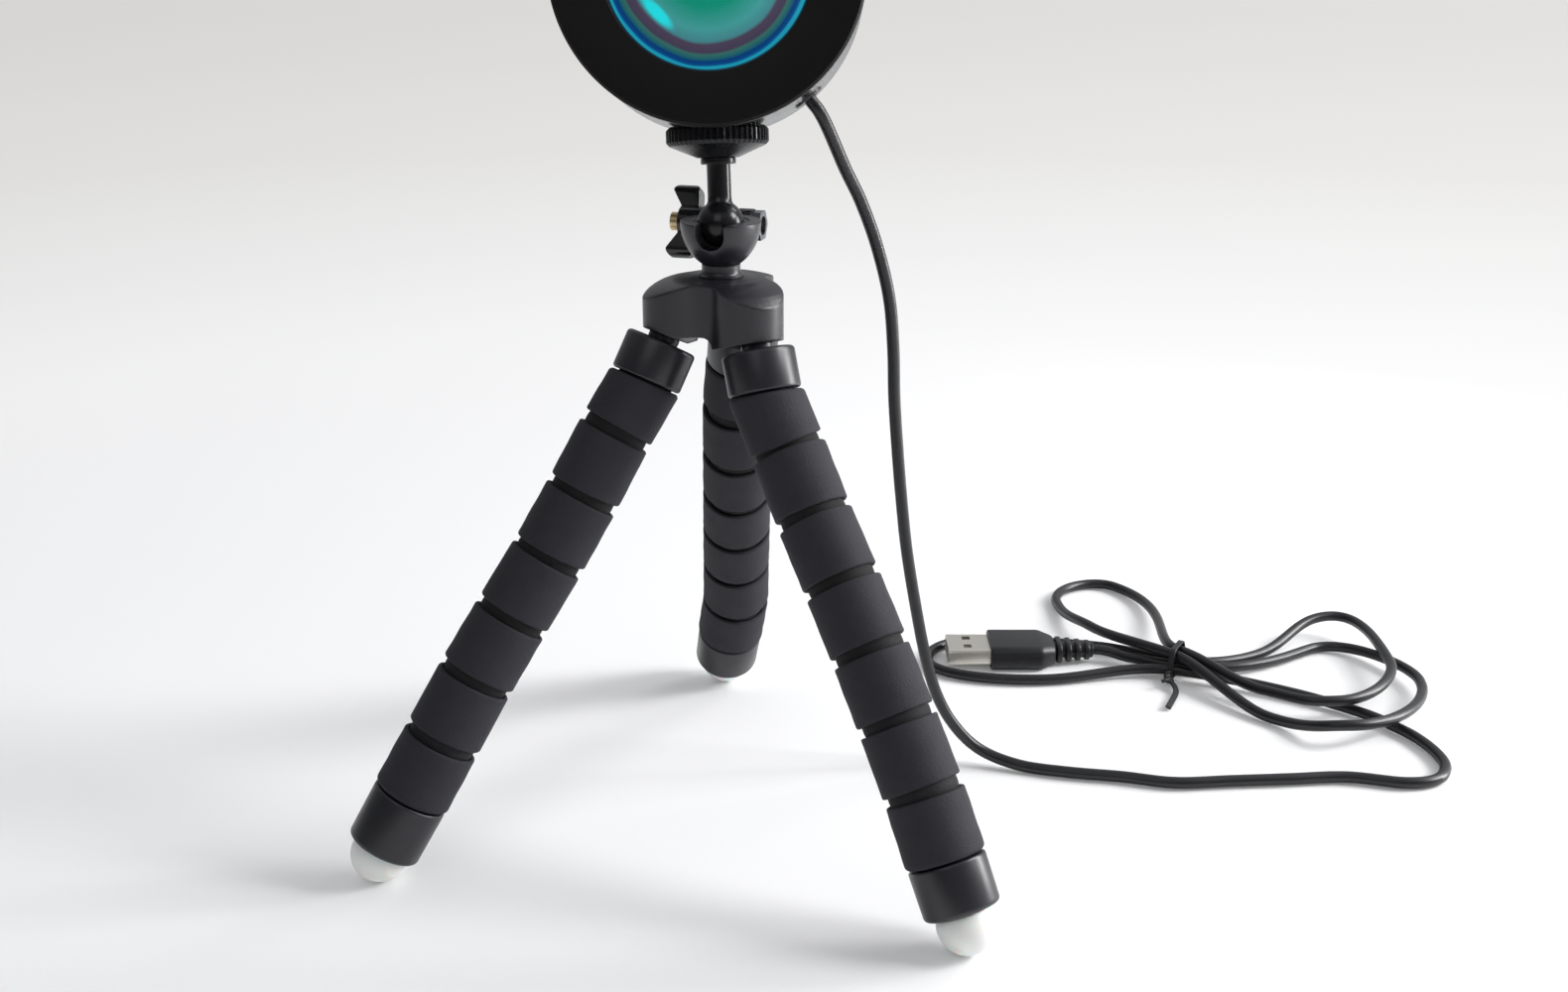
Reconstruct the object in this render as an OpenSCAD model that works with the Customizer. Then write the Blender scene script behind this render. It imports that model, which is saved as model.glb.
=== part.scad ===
/* Desk lamp that projects a sunset glow: a round lamp head on a small three-leg flexible stand with a
   ball joint, and a lead with a tied hank and a plug. Millimetres. The hub's axis meets the floor at the
   origin, Z is up, and the lamp faces -Y. A heading of a leg turns from -Y (0) towards -X (90). */

/* [Lamp head] */
// Outside diameter of the head
head_d = 64; // [54:1:84]
// Head length, back to face
head_len = 34; // [32:1:60]
// Side wall
head_wall = 2.5; // [2:0.1:4]
// Back wall
back_wall = 2.5; // [2:0.1:4]
// Thickness of the front ring's face
bezel_t = 3; // [2.4:0.1:5]
// Seen diameter of the lens
lens_view_d = 41.4; // [30:0.2:44]
// Hidden rim of the lens, per side
lens_rim = 1.5; // [1:0.1:2]
// Lens thickness
lens_t = 3; // [2:0.1:4]
// Lip that holds the lens
lens_lip_t = 1.2; // [0.8:0.1:2]
// Light module diameter
board_d = 24; // [18:1:28]
// Ball centre to head centre
head_h = 51; // [44:0.5:70]
// Turn of the head on its stud, to the left
head_turn = 2.8; // [-20:0.2:20]

/* [Lock wheel and ball joint] */
// Wheel diameter over its ridges
wheel_d = 21.5; // [16:0.5:26]
// Height of the ridged band
wheel_band = 4; // [3:0.1:6]
// Height of the cone below the band
wheel_cone = 2.4; // [1:0.1:4]
// Ridges round the wheel
wheel_ridges = 52; // [30:1:70]
// Depth of the seat for the wheel in the head
wheel_seat = 1.1; // [0.6:0.1:2]
// Thread diameter of the stud
stud_d = 6.3; // [5:0.1:7]
// Stem between ball and collar
stem_d = 5; // [4:0.1:6]
// Collar under the wheel
stem_collar_d = 7.4; // [6:0.1:9]
// Ball diameter
ball_d = 9.9; // [8:0.1:12]
// Wall of the liner round the ball
liner_t = 1; // [0.8:0.1:1.5]
// Cup diameter at its rim
cup_d = 17.1; // [15:0.1:20]
// Cup depth from its rim to its neck
cup_depth = 9.4; // [8:0.1:12]
// Height of the rim above the ball's centre
cup_rim = 0.7; // [0.4:0.1:1.2]
// Neck under the cup
neck_d = 8.2; // [7:0.1:10]
// Height of the neck between hub and cup
neck_h = 2.2; // [1.5:0.1:6]
// Width of the notch in the cup
notch_w = 6.1; // [5.4:0.1:7]
// Heading of the notch
notch_turn = 18; // [0:1:40]
// Lean of the stem to the back
stem_back = 10.8; // [-30:0.2:40]
// Lean of the stem to the left
stem_left = 1.5; // [-10:0.1:10]
// Clamp screw diameter
screw_d = 4; // [3:0.1:5]
// Distance of the clamp screw from the ball's centre
clamp_r = 11; // [10.5:0.1:14]
// Tip radius of the wing knob
wing_r = 8.2; // [6:0.1:8.4]
// Turn of the wings from upright, upper one to the back
wing_turn = 28; // [-90:1:90]
// Width of the wings at their tips
wing_w = 6; // [4:0.1:7]

/* [Hub] */
// Hub height
hub_h = 14.3; // [13:0.1:24]
// Lobe radius
lobe_r = 7.6; // [6.5:0.1:9]
// Distance of each lobe's centre from the axis
lobe_at = 9.2; // [8:0.1:12]
// Radius of the soft valleys between the lobes
valley_r = 5; // [3:0.1:8]
// Height of the arches under the hub, between the legs
arch_h = 2.5; // [1:0.1:4]
// Width of those arches
arch_w = 8.2; // [5:0.1:9]
// Heading of the first lobe
lobe_turn = 84; // [60:1:100]
// How much more upright each leg socket is than its collar
socket_ease = 4; // [0:0.5:6]
// Distance of each leg's root from the axis
root_r = 12.4; // [10:0.1:14]
// Depth of the leg roots below the hub's top
root_drop = 13.25; // [12:0.05:22]

/* [Legs] */
// Diameter of the collar at the top of each leg
collar_d = 15.5; // [14:0.1:18]
// Length of that collar
collar_len = 9.8; // [6:0.1:12]
// Foam diameter at the top of a leg
foam_d_top = 15.7; // [14:0.1:17]
// Foam diameter at the bottom of a leg
foam_d_bottom = 16.9; // [14:0.1:19]
// Length of the top section
top_len = 12.6; // [10:0.1:18]
// Length of each middle section with its groove
pitch = 15.2; // [13:0.1:20]
// Length of the last section
last_len = 14.6; // [12:0.1:20]
// Width of the grooves
groove_w = 2.1; // [1.7:0.1:3]
// Depth of the grooves
groove_depth = 1; // [0.6:0.1:1.4]
// Diameter of the end cap
cap_d = 16.4; // [13:0.1:17]
// Length of each leg's end cap that shows below the foam
cap_len = [12.9, 10.6, 11.5]; // [9:0.1:18]
// Radius of the rubber foot's dome
foot_r = 6.3; // [5:0.1:7]
// Distance of each foot's dome centre below its cap
foot_out = [1.2, 2.6, 1.2]; // [0.6:0.1:3]
// Wire in each leg
wire_d = 3; // [2:0.1:4]
// Heading of each leg's collar
collar_heading = [58.8, -28, 169.7]; // [-180:0.1:200]
// Tilt of each leg's collar from upright
collar_tilt = [28.5, 20.9, 23.5]; // [10:0.1:40]
// Heading of each leg's first foam section
first_heading = [64.3, -51.9, 169.7]; // [-180:0.1:200]
// Heading of each leg's middle sections
leg_heading = [67, -37.5, 179.4]; // [-180:0.1:200]
// Heading of each leg's last section
last_heading = [70, -37.5, 168.4]; // [-180:0.1:200]
// Tilt of the first leg's sections from upright, top to bottom
tilt_1 = [34.7, 31.1, 32.8, 34.9, 34.3, 32.1, 31.5]; // [10:0.1:60]
// Tilt of the second leg's sections
tilt_2 = [27.5, 33.9, 36.7, 35.7, 34.2, 32.9, 29.1]; // [10:0.1:60]
// Tilt of the third leg's sections
tilt_3 = [25.1, 32.4, 35.6, 37.5, 36.7, 33.7, 33]; // [10:0.1:60]

/* [Lead and plug] */
// Lead diameter
cord_d = 2.8; // [2.4:0.1:2.8]
// Length of the overmould's block
plug_len = 14; // [10:0.5:20]
// Width of the overmould
plug_w = 16; // [14:0.1:18]
// Height of the overmould
plug_t = 6.8; // [6:0.1:9]
// Seen length of the metal shell
shell_len = 11.5; // [10:0.1:12]
// Width of the metal shell
shell_w = 12; // [11.9:0.05:12.1]
// Height of the metal shell
shell_t = 4.5; // [4.4:0.05:4.6]
// Width of the tie's band
tie_w = 2.6; // [1.5:0.1:4]

/* [Clearances] */
// Between a turning or sliding piece and its seat
fit = 0.05; // [0.02:0.01:0.1]
// Round soft pieces, and between fixed pieces
gap = 0.3; // [0.2:0.05:0.4]

/* [Hidden] */
$fn = 64;
head_r = head_d / 2;
zf = head_len / 2;
in_r = head_r - head_wall;
lens_r = lens_view_d / 2 + lens_rim;
tube_in = lens_r + gap;
tube_out = tube_in + 1.4;
lens_front = zf - lens_lip_t;
lens_back = lens_front - lens_t;
gasket_t = 1.2;
flange_front = lens_back - 2 * gap - gasket_t;
flange_t = 1.2;
tube_back = flange_front - flange_t - 0.8;
spigot_len = 4;
post_r = 3;
post_at = (tube_out + in_r) / 2 - 0.1;
post_z = 3.5;
post_dirs = [90, 210, 330];
head_screw_d = 3;
chip_w = 5;
chip_t = 1;
board_t = 1.6;
board_front = -zf + 15;
cone_small = 4.4;
cone_large = 18.6;
sink_base = 3;
sink_d = board_d + 4;
cord_side = 37;
cord_z = -1.5;
nut_af = 11.1;
nut_t = 5;
nut_floor = 2.4;
seat_r = wheel_d / 2 + 0.5;
nut_out = head_r - wheel_seat - nut_floor;
flange_r = 3.3;
flange_t2 = 1.3;
flange_seat = head_r - 1.2;
flange_face = flange_seat + gap + flange_t2;

wheel_top = head_h - head_r + wheel_seat - fit;
wheel_low = wheel_top - wheel_band;
cone_low = wheel_low - wheel_cone;
collar_top = cone_low - fit;
collar_t = 1.3;
stud_end = head_h - nut_out + nut_t + 0.8;
ball_r = ball_d / 2;
liner_in = ball_r + fit;
liner_out = liner_in + liner_t;
liner_low = liner_in + liner_t;
pocket_r = liner_out + fit;
cup_r = cup_d / 2;
clamp_z = -2;
ear_r = 3.5;
ear_t = 3.4;
slit_w = 1.2;
knob_in = -(cup_r - 1.2);
knob_l = 5.2;
knob_out = knob_in - knob_l;
screw_in = knob_out - 2;
wing_x = knob_in - 1.3;
wing_e = 1.6;
hex_t = 1.6;
nut_out_t = 2;
screw_out = slit_w / 2 + ear_t;

collar_r = collar_d / 2;
neck_ball = 3.4;
neck_top = 2;
face_up = 0.9;
socket_up = 0.55;
nose = 3.6;
end_round = 1;
wire_r = wire_d / 2;
plug_in = 5;
tilts = [tilt_1, tilt_2, tilt_3];
function seg(k, i) = i == 0 ? top_len : i < 6 ? pitch : last_len + cap_len[k];
leg_total = collar_len + top_len + 5 * pitch + last_len;
// Drop of a leg from its root to its foot's centre, when every tilt grows by e
function total(v, n, i = 0) = i >= n ? 0 : v[i] + total(v, n, i + 1);
function drop(k, e) = collar_len * cos(collar_tilt[k])
    + total([for (i = [0:6]) seg(k, i) * cos(tilts[k][i] + e)], 7) + foot_out[k] * cos(tilts[k][6] + e);
// The growth that sets a leg's foot on the floor, by halving
function settle(k, lo, hi, n) = n == 0 ? (lo + hi) / 2
    : drop(k, (lo + hi) / 2) > drop(0, 0) ? settle(k, (lo + hi) / 2, hi, n - 1)
    : settle(k, lo, (lo + hi) / 2, n - 1);
extra = [0, settle(1, -15, 15, 24), settle(2, -15, 15, 24)];
root_z = drop(0, 0) + foot_r;
hub_top = root_z + root_drop;
hub_low = hub_top - hub_h;
ball_z = hub_top + neck_h + cup_depth - cup_rim;
function out(az) = [-sin(az), -cos(az), 0];
function flat2(az) = [-sin(az), -cos(az)];
function dir(az, t) = [-sin(az) * sin(t), -cos(az) * sin(t), -cos(t)];
function lobe(k) = lobe_turn - 120 * k;
function tilt(k, i) = tilts[k][i] + extra[k];
function root(k) = out(lobe(k)) * root_r + [0, 0, root_z];
function heading(k, i) = i == 0 ? first_heading[k] : i == 6 ? last_heading[k] : leg_heading[k];
// Where leg k bends under its collar
function knee(k) = root(k) + collar_len * dir(collar_heading[k], collar_tilt[k]);
// Pivot above section i of leg k; section 0's frame starts a collar's length above the knee
function pivot(k, i) = i == 0 ? knee(k) - collar_len * dir(heading(k, 0), tilt(k, 0))
    : i == 1 ? knee(k) + top_len * dir(heading(k, 0), tilt(k, 0))
    : pivot(k, i - 1) + seg(k, i - 1) * dir(heading(k, i - 1), tilt(k, i - 1));
function sec_top(i) = i == 0 ? collar_len : i == 1 ? collar_len + top_len
    : collar_len + top_len + (i - 1) * pitch;
function foam_r(s) = (foam_d_top + (foam_d_bottom - foam_d_top) * s / leg_total) / 2;
function groove_ball(i) = foam_r(sec_top(i)) - groove_depth;

// Arc of points about [x, y]
function arc(x, y, r, a, b, n) = [for (j = [0:n]) [x + r * cos(a + (b - a) * j / n),
    y + r * sin(a + (b - a) * j / n)]];
// Half outline of a round body between z = a (top) and z = b, with rounded edges
function rounded(ra, rb, a, b, c) = concat([[0, a]], arc(ra - c, a - c, c, 90, 0, 5),
    arc(rb - c, b + c, c, 0, -90, 5), [[0, b]]);
// Rounded rectangle about the origin
function rrect(w, h, r) = concat(arc(w / 2 - r, h / 2 - r, r, 0, 90, 6),
    arc(r - w / 2, h / 2 - r, r, 90, 180, 6), arc(r - w / 2, r - h / 2, r, 180, 270, 6),
    arc(w / 2 - r, r - h / 2, r, 270, 360, 6));

// Lead: the free run is drawn through these points
exit_l = [flange_face * sin(cord_side), -cord_z, head_h - flange_face * cos(cord_side)];
way_l = [sin(cord_side), 0, -cos(cord_side)];
function turn_z(v, a) = [v[0] * cos(a) - v[1] * sin(a), v[0] * sin(a) + v[1] * cos(a), v[2]];
function turn_y(v, a) = [v[0] * cos(a) + v[2] * sin(a), v[1], v[2] * cos(a) - v[0] * sin(a)];
function turn_x(v, a) = [v[0], v[1] * cos(a) - v[2] * sin(a), v[1] * sin(a) + v[2] * cos(a)];
function stem_dir(v) = turn_x(turn_y(turn_z(v, -head_turn), -stem_left), -stem_back);
exit_p = stem_dir(exit_l) + [0, 0, ball_z];
exit_d = stem_dir(way_l);
lo = 1.5;
run_pts = concat([exit_p, exit_p + exit_d * cord_d / 2, exit_p + exit_d * cord_d], [[22, 5.2, 158.1],
    [23.8, 6.5, 154.2], [26.7, 8.6, 147.6],
    [30.4, 10.8, 140], [34.1, 12.5, 130], [37, 13.5, 118.5], [38.2, 14.5, 107], [38.8, 16, 95],
    [39.8, 17, 83], [41, 18, 71], [42.6, 19.5, 58], [44.8, 20.5, 45], [47.8, 21.5, 30],
    [51, 22.5, 19], [55.5, 23, 10.5], [62, 22.5, 4], [71, 18.5, 1.6], [82, 14.5, lo],
    [95, 11.5, lo], [107, 8, lo], [121, 8.5, lo], [135, 9, lo], [149, 9.5, lo], [162, 6, lo],
    [170, 7.5, lo], [174.5, 14, lo], [175, 22, lo], [173, 31, lo], [169, 39, lo]]);
// Hank: x, y, z, heading, reach back, reach forward
knots = [[169, 39, lo, 118, 0, 12], [121.7, 72.3, 2.5, 158, 22, 12], [86, 69.5, lo, 182, 12, 12],
    [56, 83, lo, 92, 10, 8], [70, 97, lo, 0, 8, 14], [104, 92, lo, -16, 14, 6],
    [124.5, 79.2, 2.5, -24, 8, 8], [146, 83.3, lo, 28, 8, 14], [173, 101, 6, 4, 11, 9],
    [179, 68, 6, -96, 16, 9], [158, 45, 5.2, 184, 10, 10], [141, 54, 4.4, 145, 8, 8],
    [123.8, 77.3, 6.3, 132, 10, 10], [119, 138, lo, 128, 24, 9], [99, 126, lo, -90, 12, 12],
    [104, 99, 4.6, -65, 8, 8], [121.6, 74.4, 6.3, -48, 12, 10], [140, 43, 1.6, -44, 10, 10],
    [156, 29, 5.8, -2, 9, 12], [185, 62, 3.4, 86, 14, 10], [163, 87.5, lo, 213, 15, 12],
    [123, 75.7, 2.5, 158, 18, 8], [112, 80.8, 2.6, 154, 4, 5], [102, 85, 3.45, 178, 5, 0]];
plug_p = [102, 85, 3.45];
plug_turn = 178;
function unit(v) = v / norm(v);
function flat(a) = [cos(a), sin(a), 0];
function xyz(v) = [v[0], v[1], v[2]];
function curve(p, i, t) = let (a = i == 0 ? 2 * p[0] - p[1] : p[i - 1], b = p[i], c = p[i + 1],
    d = i + 2 < len(p) ? p[i + 2] : 2 * p[i + 1] - p[i])
    0.5 * (2 * b + (c - a) * t + (2 * a - 5 * b + 4 * c - d) * t * t + (3 * b - a - 3 * c + d) * t * t * t);
function through(p, m) = concat([for (i = [0:len(p) - 2]) for (j = [0:m - 1]) curve(p, i, j / m)],
    [p[len(p) - 1]]);
function bend(a, b, t) = let (p = xyz(a), s = xyz(b), q = p + flat(a[3]) * a[5],
    r = s - flat(b[3]) * b[4], u = 1 - t)
    u * u * u * p + 3 * u * u * t * q + 3 * u * t * t * r + t * t * t * s;
function looped(k, m) = concat([for (i = [0:len(k) - 2]) for (j = [0:m - 1]) bend(k[i], k[i + 1], j / m)],
    [xyz(k[len(k) - 1])]);
run_end = flat(118);
run_path = concat(through([for (i = [0:len(run_pts) - 2]) run_pts[i]], 2),
    [run_pts[len(run_pts) - 1] - run_end * cord_d, run_pts[len(run_pts) - 1]]);
hank_all = looped(knots, 6);
hank_path = concat([hank_all[0], hank_all[0] + run_end * cord_d],
    [for (i = [2:len(hank_all) - 3]) hank_all[i]],
    [plug_p - flat(plug_turn) * cord_d, plug_p]);
// Least distance of the hank's strands, on points that are farther apart along it than four diameters
hank_fine = looped(knots, 10);
function least(v, i, far) = min([for (j = [i + far:len(v) - 1]) norm(v[i] - v[j]) > 60 ? 60
    : norm(v[i] - v[j])]);
hank_gap = min([for (i = [0:len(hank_fine) - 22]) least(hank_fine, i, 20)]) - cord_d;
echo(least_gap_of_the_hank_to_itself_mm = hank_gap);

// Frames
module in_stem() {
    translate([0, 0, ball_z]) rotate([-stem_back, 0, 0]) rotate([0, -stem_left, 0]) children();
}
module in_head() {
    in_stem() rotate([0, 0, -head_turn]) translate([0, 0, head_h]) rotate([90, 0, 0]) children();
}
module in_cup() {
    translate([0, 0, ball_z]) rotate([0, 0, -notch_turn]) children();
}
module in_leg(k, i) {
    translate(pivot(k, i)) rotate([-tilt(k, i), 0, -heading(k, i)]) children();
}
module in_collar(k) {
    translate(root(k)) rotate([-collar_tilt[k], 0, -collar_heading[k]]) children();
}
module in_root(k) {
    translate(root(k)) rotate([socket_ease - collar_tilt[k], 0, -collar_heading[k]]) children();
}
module ring(ro, ri, a, b) {
    difference() {
        translate([0, 0, a]) cylinder(r = ro, h = b - a);
        translate([0, 0, a - 1]) cylinder(r = ri, h = b - a + 2);
    }
}
module hex(af, h) {
    linear_extrude(h) polygon([for (i = [0:5]) [cos(60 * i + 30), sin(60 * i + 30)] * af / sqrt(3)]);
}
module towards(a) {
    rotate([0, 0, a]) rotate([0, 90, 0]) children();
}

// Head
module front_bezel() {
    color("#17181b") in_head() difference() {
        union() {
            rotate_extrude() polygon([[0, zf - bezel_t], [head_r, zf - bezel_t], [head_r, zf - 0.6],
                [head_r - 0.6, zf], [0, zf]]);
            ring(in_r - gap / 2, in_r - gap / 2 - 1.4, zf - bezel_t - spigot_len, zf - bezel_t + 0.5);
            ring(tube_out, tube_in, tube_back, zf - 1);
            for (a = post_dirs) translate([post_at * cos(a), post_at * sin(a), post_z])
                cylinder(r = post_r - 0.2, h = zf - 1 - post_z);
        }
        translate([0, 0, zf - lens_lip_t]) cylinder(r1 = lens_view_d / 2, r2 = lens_view_d / 2 + 0.5,
            h = lens_lip_t + 0.01);
        translate([0, 0, -1]) cylinder(r = tube_in, h = lens_front + 1);
        for (a = post_dirs) translate([post_at * cos(a), post_at * sin(a), post_z - 1])
            cylinder(r = head_screw_d / 2 + fit, h = 8.5);
    }
}
module lens() {
    color("#7fc9c4") in_head() translate([0, 0, lens_back]) cylinder(r = lens_r, h = lens_t);
}
module lens_gasket() {
    color("#2b2b2d") in_head()
        ring(lens_r, lens_r - 2.6, flange_front + gap, flange_front + gap + gasket_t);
}
module reflector() {
    color("#d8dadc") in_head() rotate_extrude() polygon([[cone_small, board_front + gap / 3],
        [cone_small + 1, board_front + gap / 3], [cone_large + 1, flange_front - flange_t],
        [lens_r, flange_front - flange_t], [lens_r, flange_front], [cone_large, flange_front],
        [cone_small, board_front + 1.4]]);
}
module led_chip() {
    color("#f0e0a0") in_head() translate([0, 0, board_front]) {
        translate([-chip_w / 2, -chip_w / 2, 0]) cube([chip_w, chip_w, chip_t]);
        intersection() {
            translate([0, 0, chip_t - 0.4]) sphere(r = 2);
            translate([-3, -3, 0]) cube([6, 6, 4]);
        }
    }
}
module led_board() {
    color("#e6e8e6") in_head() difference() {
        translate([0, 0, board_front - board_t]) cylinder(r = board_d / 2, h = board_t);
        for (s = [-1, 1]) translate([s * (board_d / 2 - 2.4), 0, board_front - board_t - 1])
            cylinder(r = 1.3, h = board_t + 2);
    }
}
module heat_sink() {
    top = board_front - board_t;
    low = -zf + back_wall;
    color("#9a9da1") in_head() difference() {
        union() {
            translate([0, 0, top - sink_base]) cylinder(r = sink_d / 2, h = sink_base);
            intersection() {
                translate([0, 0, low]) cylinder(r = sink_d / 2, h = top - sink_base - low + 0.5);
                union() {
                    for (i = [-3:3]) translate([i * sink_d / 8 - 0.6, -sink_d / 2, low])
                        cube([1.2, sink_d, top - sink_base - low + 0.5]);
                    for (s = [-1, 1]) translate([s * (board_d / 2 - 2.4), 0, low])
                        cylinder(r = 2.4, h = top - sink_base - low + 0.5);
                }
            }
        }
        for (s = [-1, 1]) translate([s * (board_d / 2 - 2.4), 0, top - 6])
            cylinder(r = 1.25 + fit, h = 10);
    }
}
module head_housing() {
    color("#0f1012") in_head() difference() {
        union() {
            difference() {
                rotate_extrude() polygon(concat([[0, zf - bezel_t], [head_r, zf - bezel_t]],
                    arc(head_r - 2, -zf + 2, 2, 0, -90, 6), [[0, -zf]]));
                translate([0, 0, -zf + back_wall]) cylinder(r = in_r, h = head_len);
            }
            intersection() {
                rotate([90, 0, 0]) cylinder(r = nut_af / sqrt(3) + 2.2, h = head_r);
                translate([0, 0, -zf + 0.5]) cylinder(r = head_r - 1, h = head_len - bezel_t - 1);
                translate([-20, -head_r, -20]) cube([40, head_r - nut_out + nut_t, 40]);
            }
            for (a = post_dirs) translate([post_at * cos(a), post_at * sin(a), -zf + 0.5])
                cylinder(r = post_r, h = post_z + zf - 0.5);
            towards(cord_side - 90) translate([0, 0, in_r - 2]) cylinder(r = 4.6, h = 3);
        }
        rotate([90, 0, 0]) translate([0, 0, head_r - wheel_seat]) cylinder(r = seat_r, h = 5);
        rotate([90, 0, 0]) translate([0, 0, nut_out - nut_t - 1]) cylinder(r = stud_d / 2 + 0.2, h = 30);
        rotate([90, 0, 0]) translate([0, 0, nut_out - nut_t - 3]) hex(nut_af + 2 * fit, nut_t + 3);
        for (a = post_dirs) translate([post_at * cos(a), post_at * sin(a), -zf - 1]) {
            cylinder(r = head_screw_d / 2 + 0.2, h = post_z + zf + 2);
            cylinder(r = head_screw_d + 0.1, h = 3.2);
        }
        towards(cord_side - 90) translate([0, 0, 0]) translate([-cord_z, 0, 0]) {
            cylinder(r = flange_r - 0.6, h = head_r + 5);
            translate([0, 0, flange_seat]) cylinder(r = flange_r + gap, h = 5);
        }
    }
}
module board_screws() {
    color("#b9bcc0") in_head() for (s = [-1, 1]) translate([s * (board_d / 2 - 2.4), 0, board_front]) {
        translate([0, 0, -6]) cylinder(r = 1.25, h = 6.5);
        cylinder(r = 2, h = 1.2);
    }
}
module head_screws() {
    color("#b9bcc0") in_head() for (a = post_dirs)
        translate([post_at * cos(a), post_at * sin(a), -zf + 2.2]) difference() {
            union() {
                cylinder(r = head_screw_d / 2, h = post_z + zf + 4);
                translate([0, 0, -1.8]) cylinder(r = head_screw_d - 0.1, h = 1.8);
            }
            translate([-0.4, -2, -2.8]) cube([0.8, 4, 1.8]);
            translate([-2, -0.4, -2.8]) cube([4, 0.8, 1.8]);
        }
}
module mount_nut() {
    color("#a8abae") in_head() rotate([90, 0, 0]) difference() {
        translate([0, 0, nut_out - nut_t]) hex(nut_af, nut_t);
        translate([0, 0, 0]) cylinder(r = stud_d / 2 + fit, h = head_r);
    }
}
module cord_grommet() {
    color("#1b1c1e") in_head() towards(cord_side - 90) translate([-cord_z, 0, 0]) {
        translate([0, 0, in_r - 3.5]) cylinder(r = flange_r - 0.9, h = flange_face - in_r + 3.5);
        translate([0, 0, flange_seat + gap]) cylinder(r = flange_r, h = flange_t2);
    }
}

// Lock wheel and ball joint
module lock_wheel() {
    n = wheel_ridges;
    color("#1d1f23") in_stem() difference() {
        union() {
            intersection() {
                translate([0, 0, wheel_low]) linear_extrude(wheel_band) polygon([for (i = [0:4 * n - 1])
                    let (r = wheel_d / 2 - (i % 4 < 2 ? 0 : 0.5), a = (i + 0.5) * 90 / n)
                    [r * cos(a), r * sin(a)]]);
                rotate_extrude() polygon([[0, wheel_low], [wheel_d / 2 - 0.7, wheel_low],
                    [wheel_d / 2 + 0.1, wheel_low + 0.7], [wheel_d / 2 + 0.1, wheel_top - 0.7],
                    [wheel_d / 2 - 0.7, wheel_top], [0, wheel_top]]);
            }
            translate([0, 0, cone_low]) cylinder(r1 = 4.4, r2 = wheel_d / 2 - 0.7, h = wheel_cone);
        }
        translate([0, 0, cone_low - 1]) cylinder(r = stud_d / 2 + fit, h = 12);
    }
}
module ball_stem() {
    color("#202227") in_stem() {
        sphere(r = ball_r);
        cylinder(r = stem_d / 2, h = collar_top - 0.5);
        translate([0, 0, collar_top - collar_t]) cylinder(r = stem_collar_d / 2, h = collar_t);
        translate([0, 0, collar_top - 0.5]) cylinder(r = stud_d / 2, h = stud_end - collar_top + 0.5);
    }
}
module notch(r) {
    translate([0, 0, 0]) rotate([90, 0, 0]) translate([0, -1.45, 0]) cylinder(r = notch_w / 2, h = r);
    translate([-notch_w / 2, -r, -1.45]) cube([notch_w, r, 10]);
}
// Half outline of the liner's outside and of the pocket it sits in, cut back at the foot with the ball
function bowl(r, low, high) = [[0, -low], [r - ball_r * 0.62, -low], [r, ball_r * 0.62 - low],
    [r, high], [0, high]];
module ball_seat() {
    color("#3a3c41") in_cup() difference() {
        rotate_extrude() polygon(bowl(liner_out, liner_low, cup_rim - 0.2));
        sphere(r = liner_in);
        notch(20);
    }
}
module ball_cup() {
    color("#23252a") {
        difference() {
            union() {
                in_cup() rotate_extrude() polygon(concat([[0, cup_rim]],
                    [for (i = [0:12]) [cup_r * cos(i * 5.2), cup_rim - (cup_depth + 0.9) * sin(i * 5.2)]],
                    [[0, cup_rim - (cup_depth + 0.9) * sin(62.4)]]));
                translate([0, 0, hub_top - 6]) cylinder(r = neck_d / 2 - 0.9, h = 8);
                translate([0, 0, hub_top]) rotate_extrude() polygon([[0, 0], [neck_d / 2 + 0.9, 0],
                    [neck_d / 2 + 0.2, 0.5], [neck_d / 2, 1.1], [neck_d / 2, ball_z + cup_rim - cup_depth
                    - hub_top + 1.2], [0, ball_z + cup_rim - cup_depth - hub_top + 1.2]]);
                in_cup() for (s = [-1, 1]) translate([s > 0 ? slit_w / 2 : -slit_w / 2 - ear_t, 0, 0]) {
                    translate([0, clamp_r, clamp_z]) rotate([0, 90, 0]) cylinder(r = ear_r, h = ear_t);
                    translate([0, pocket_r + 0.6, clamp_z - ear_r])
                        cube([ear_t, clamp_r - pocket_r - 0.6, 2 * ear_r - 1]);
                }
            }
            in_cup() {
                rotate_extrude() polygon(bowl(pocket_r, liner_low + fit, 20));
                notch(20);
                translate([-slit_w / 2, 0, -liner_low - fit]) cube([slit_w, 30, 20]);
                translate([-10, clamp_r, clamp_z]) rotate([0, 90, 0]) cylinder(r = screw_d / 2 + fit, h = 20);
                translate([slit_w / 2 + ear_t - hex_t, clamp_r, clamp_z]) rotate([0, 90, 0])
                    hex(7 * screw_d / 4 - 1 + 2 * fit, 5);
            }
            translate([0, 0, hub_top - 8]) cylinder(r = 2 + fit, h = 8.6);
        }
    }
}
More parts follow.
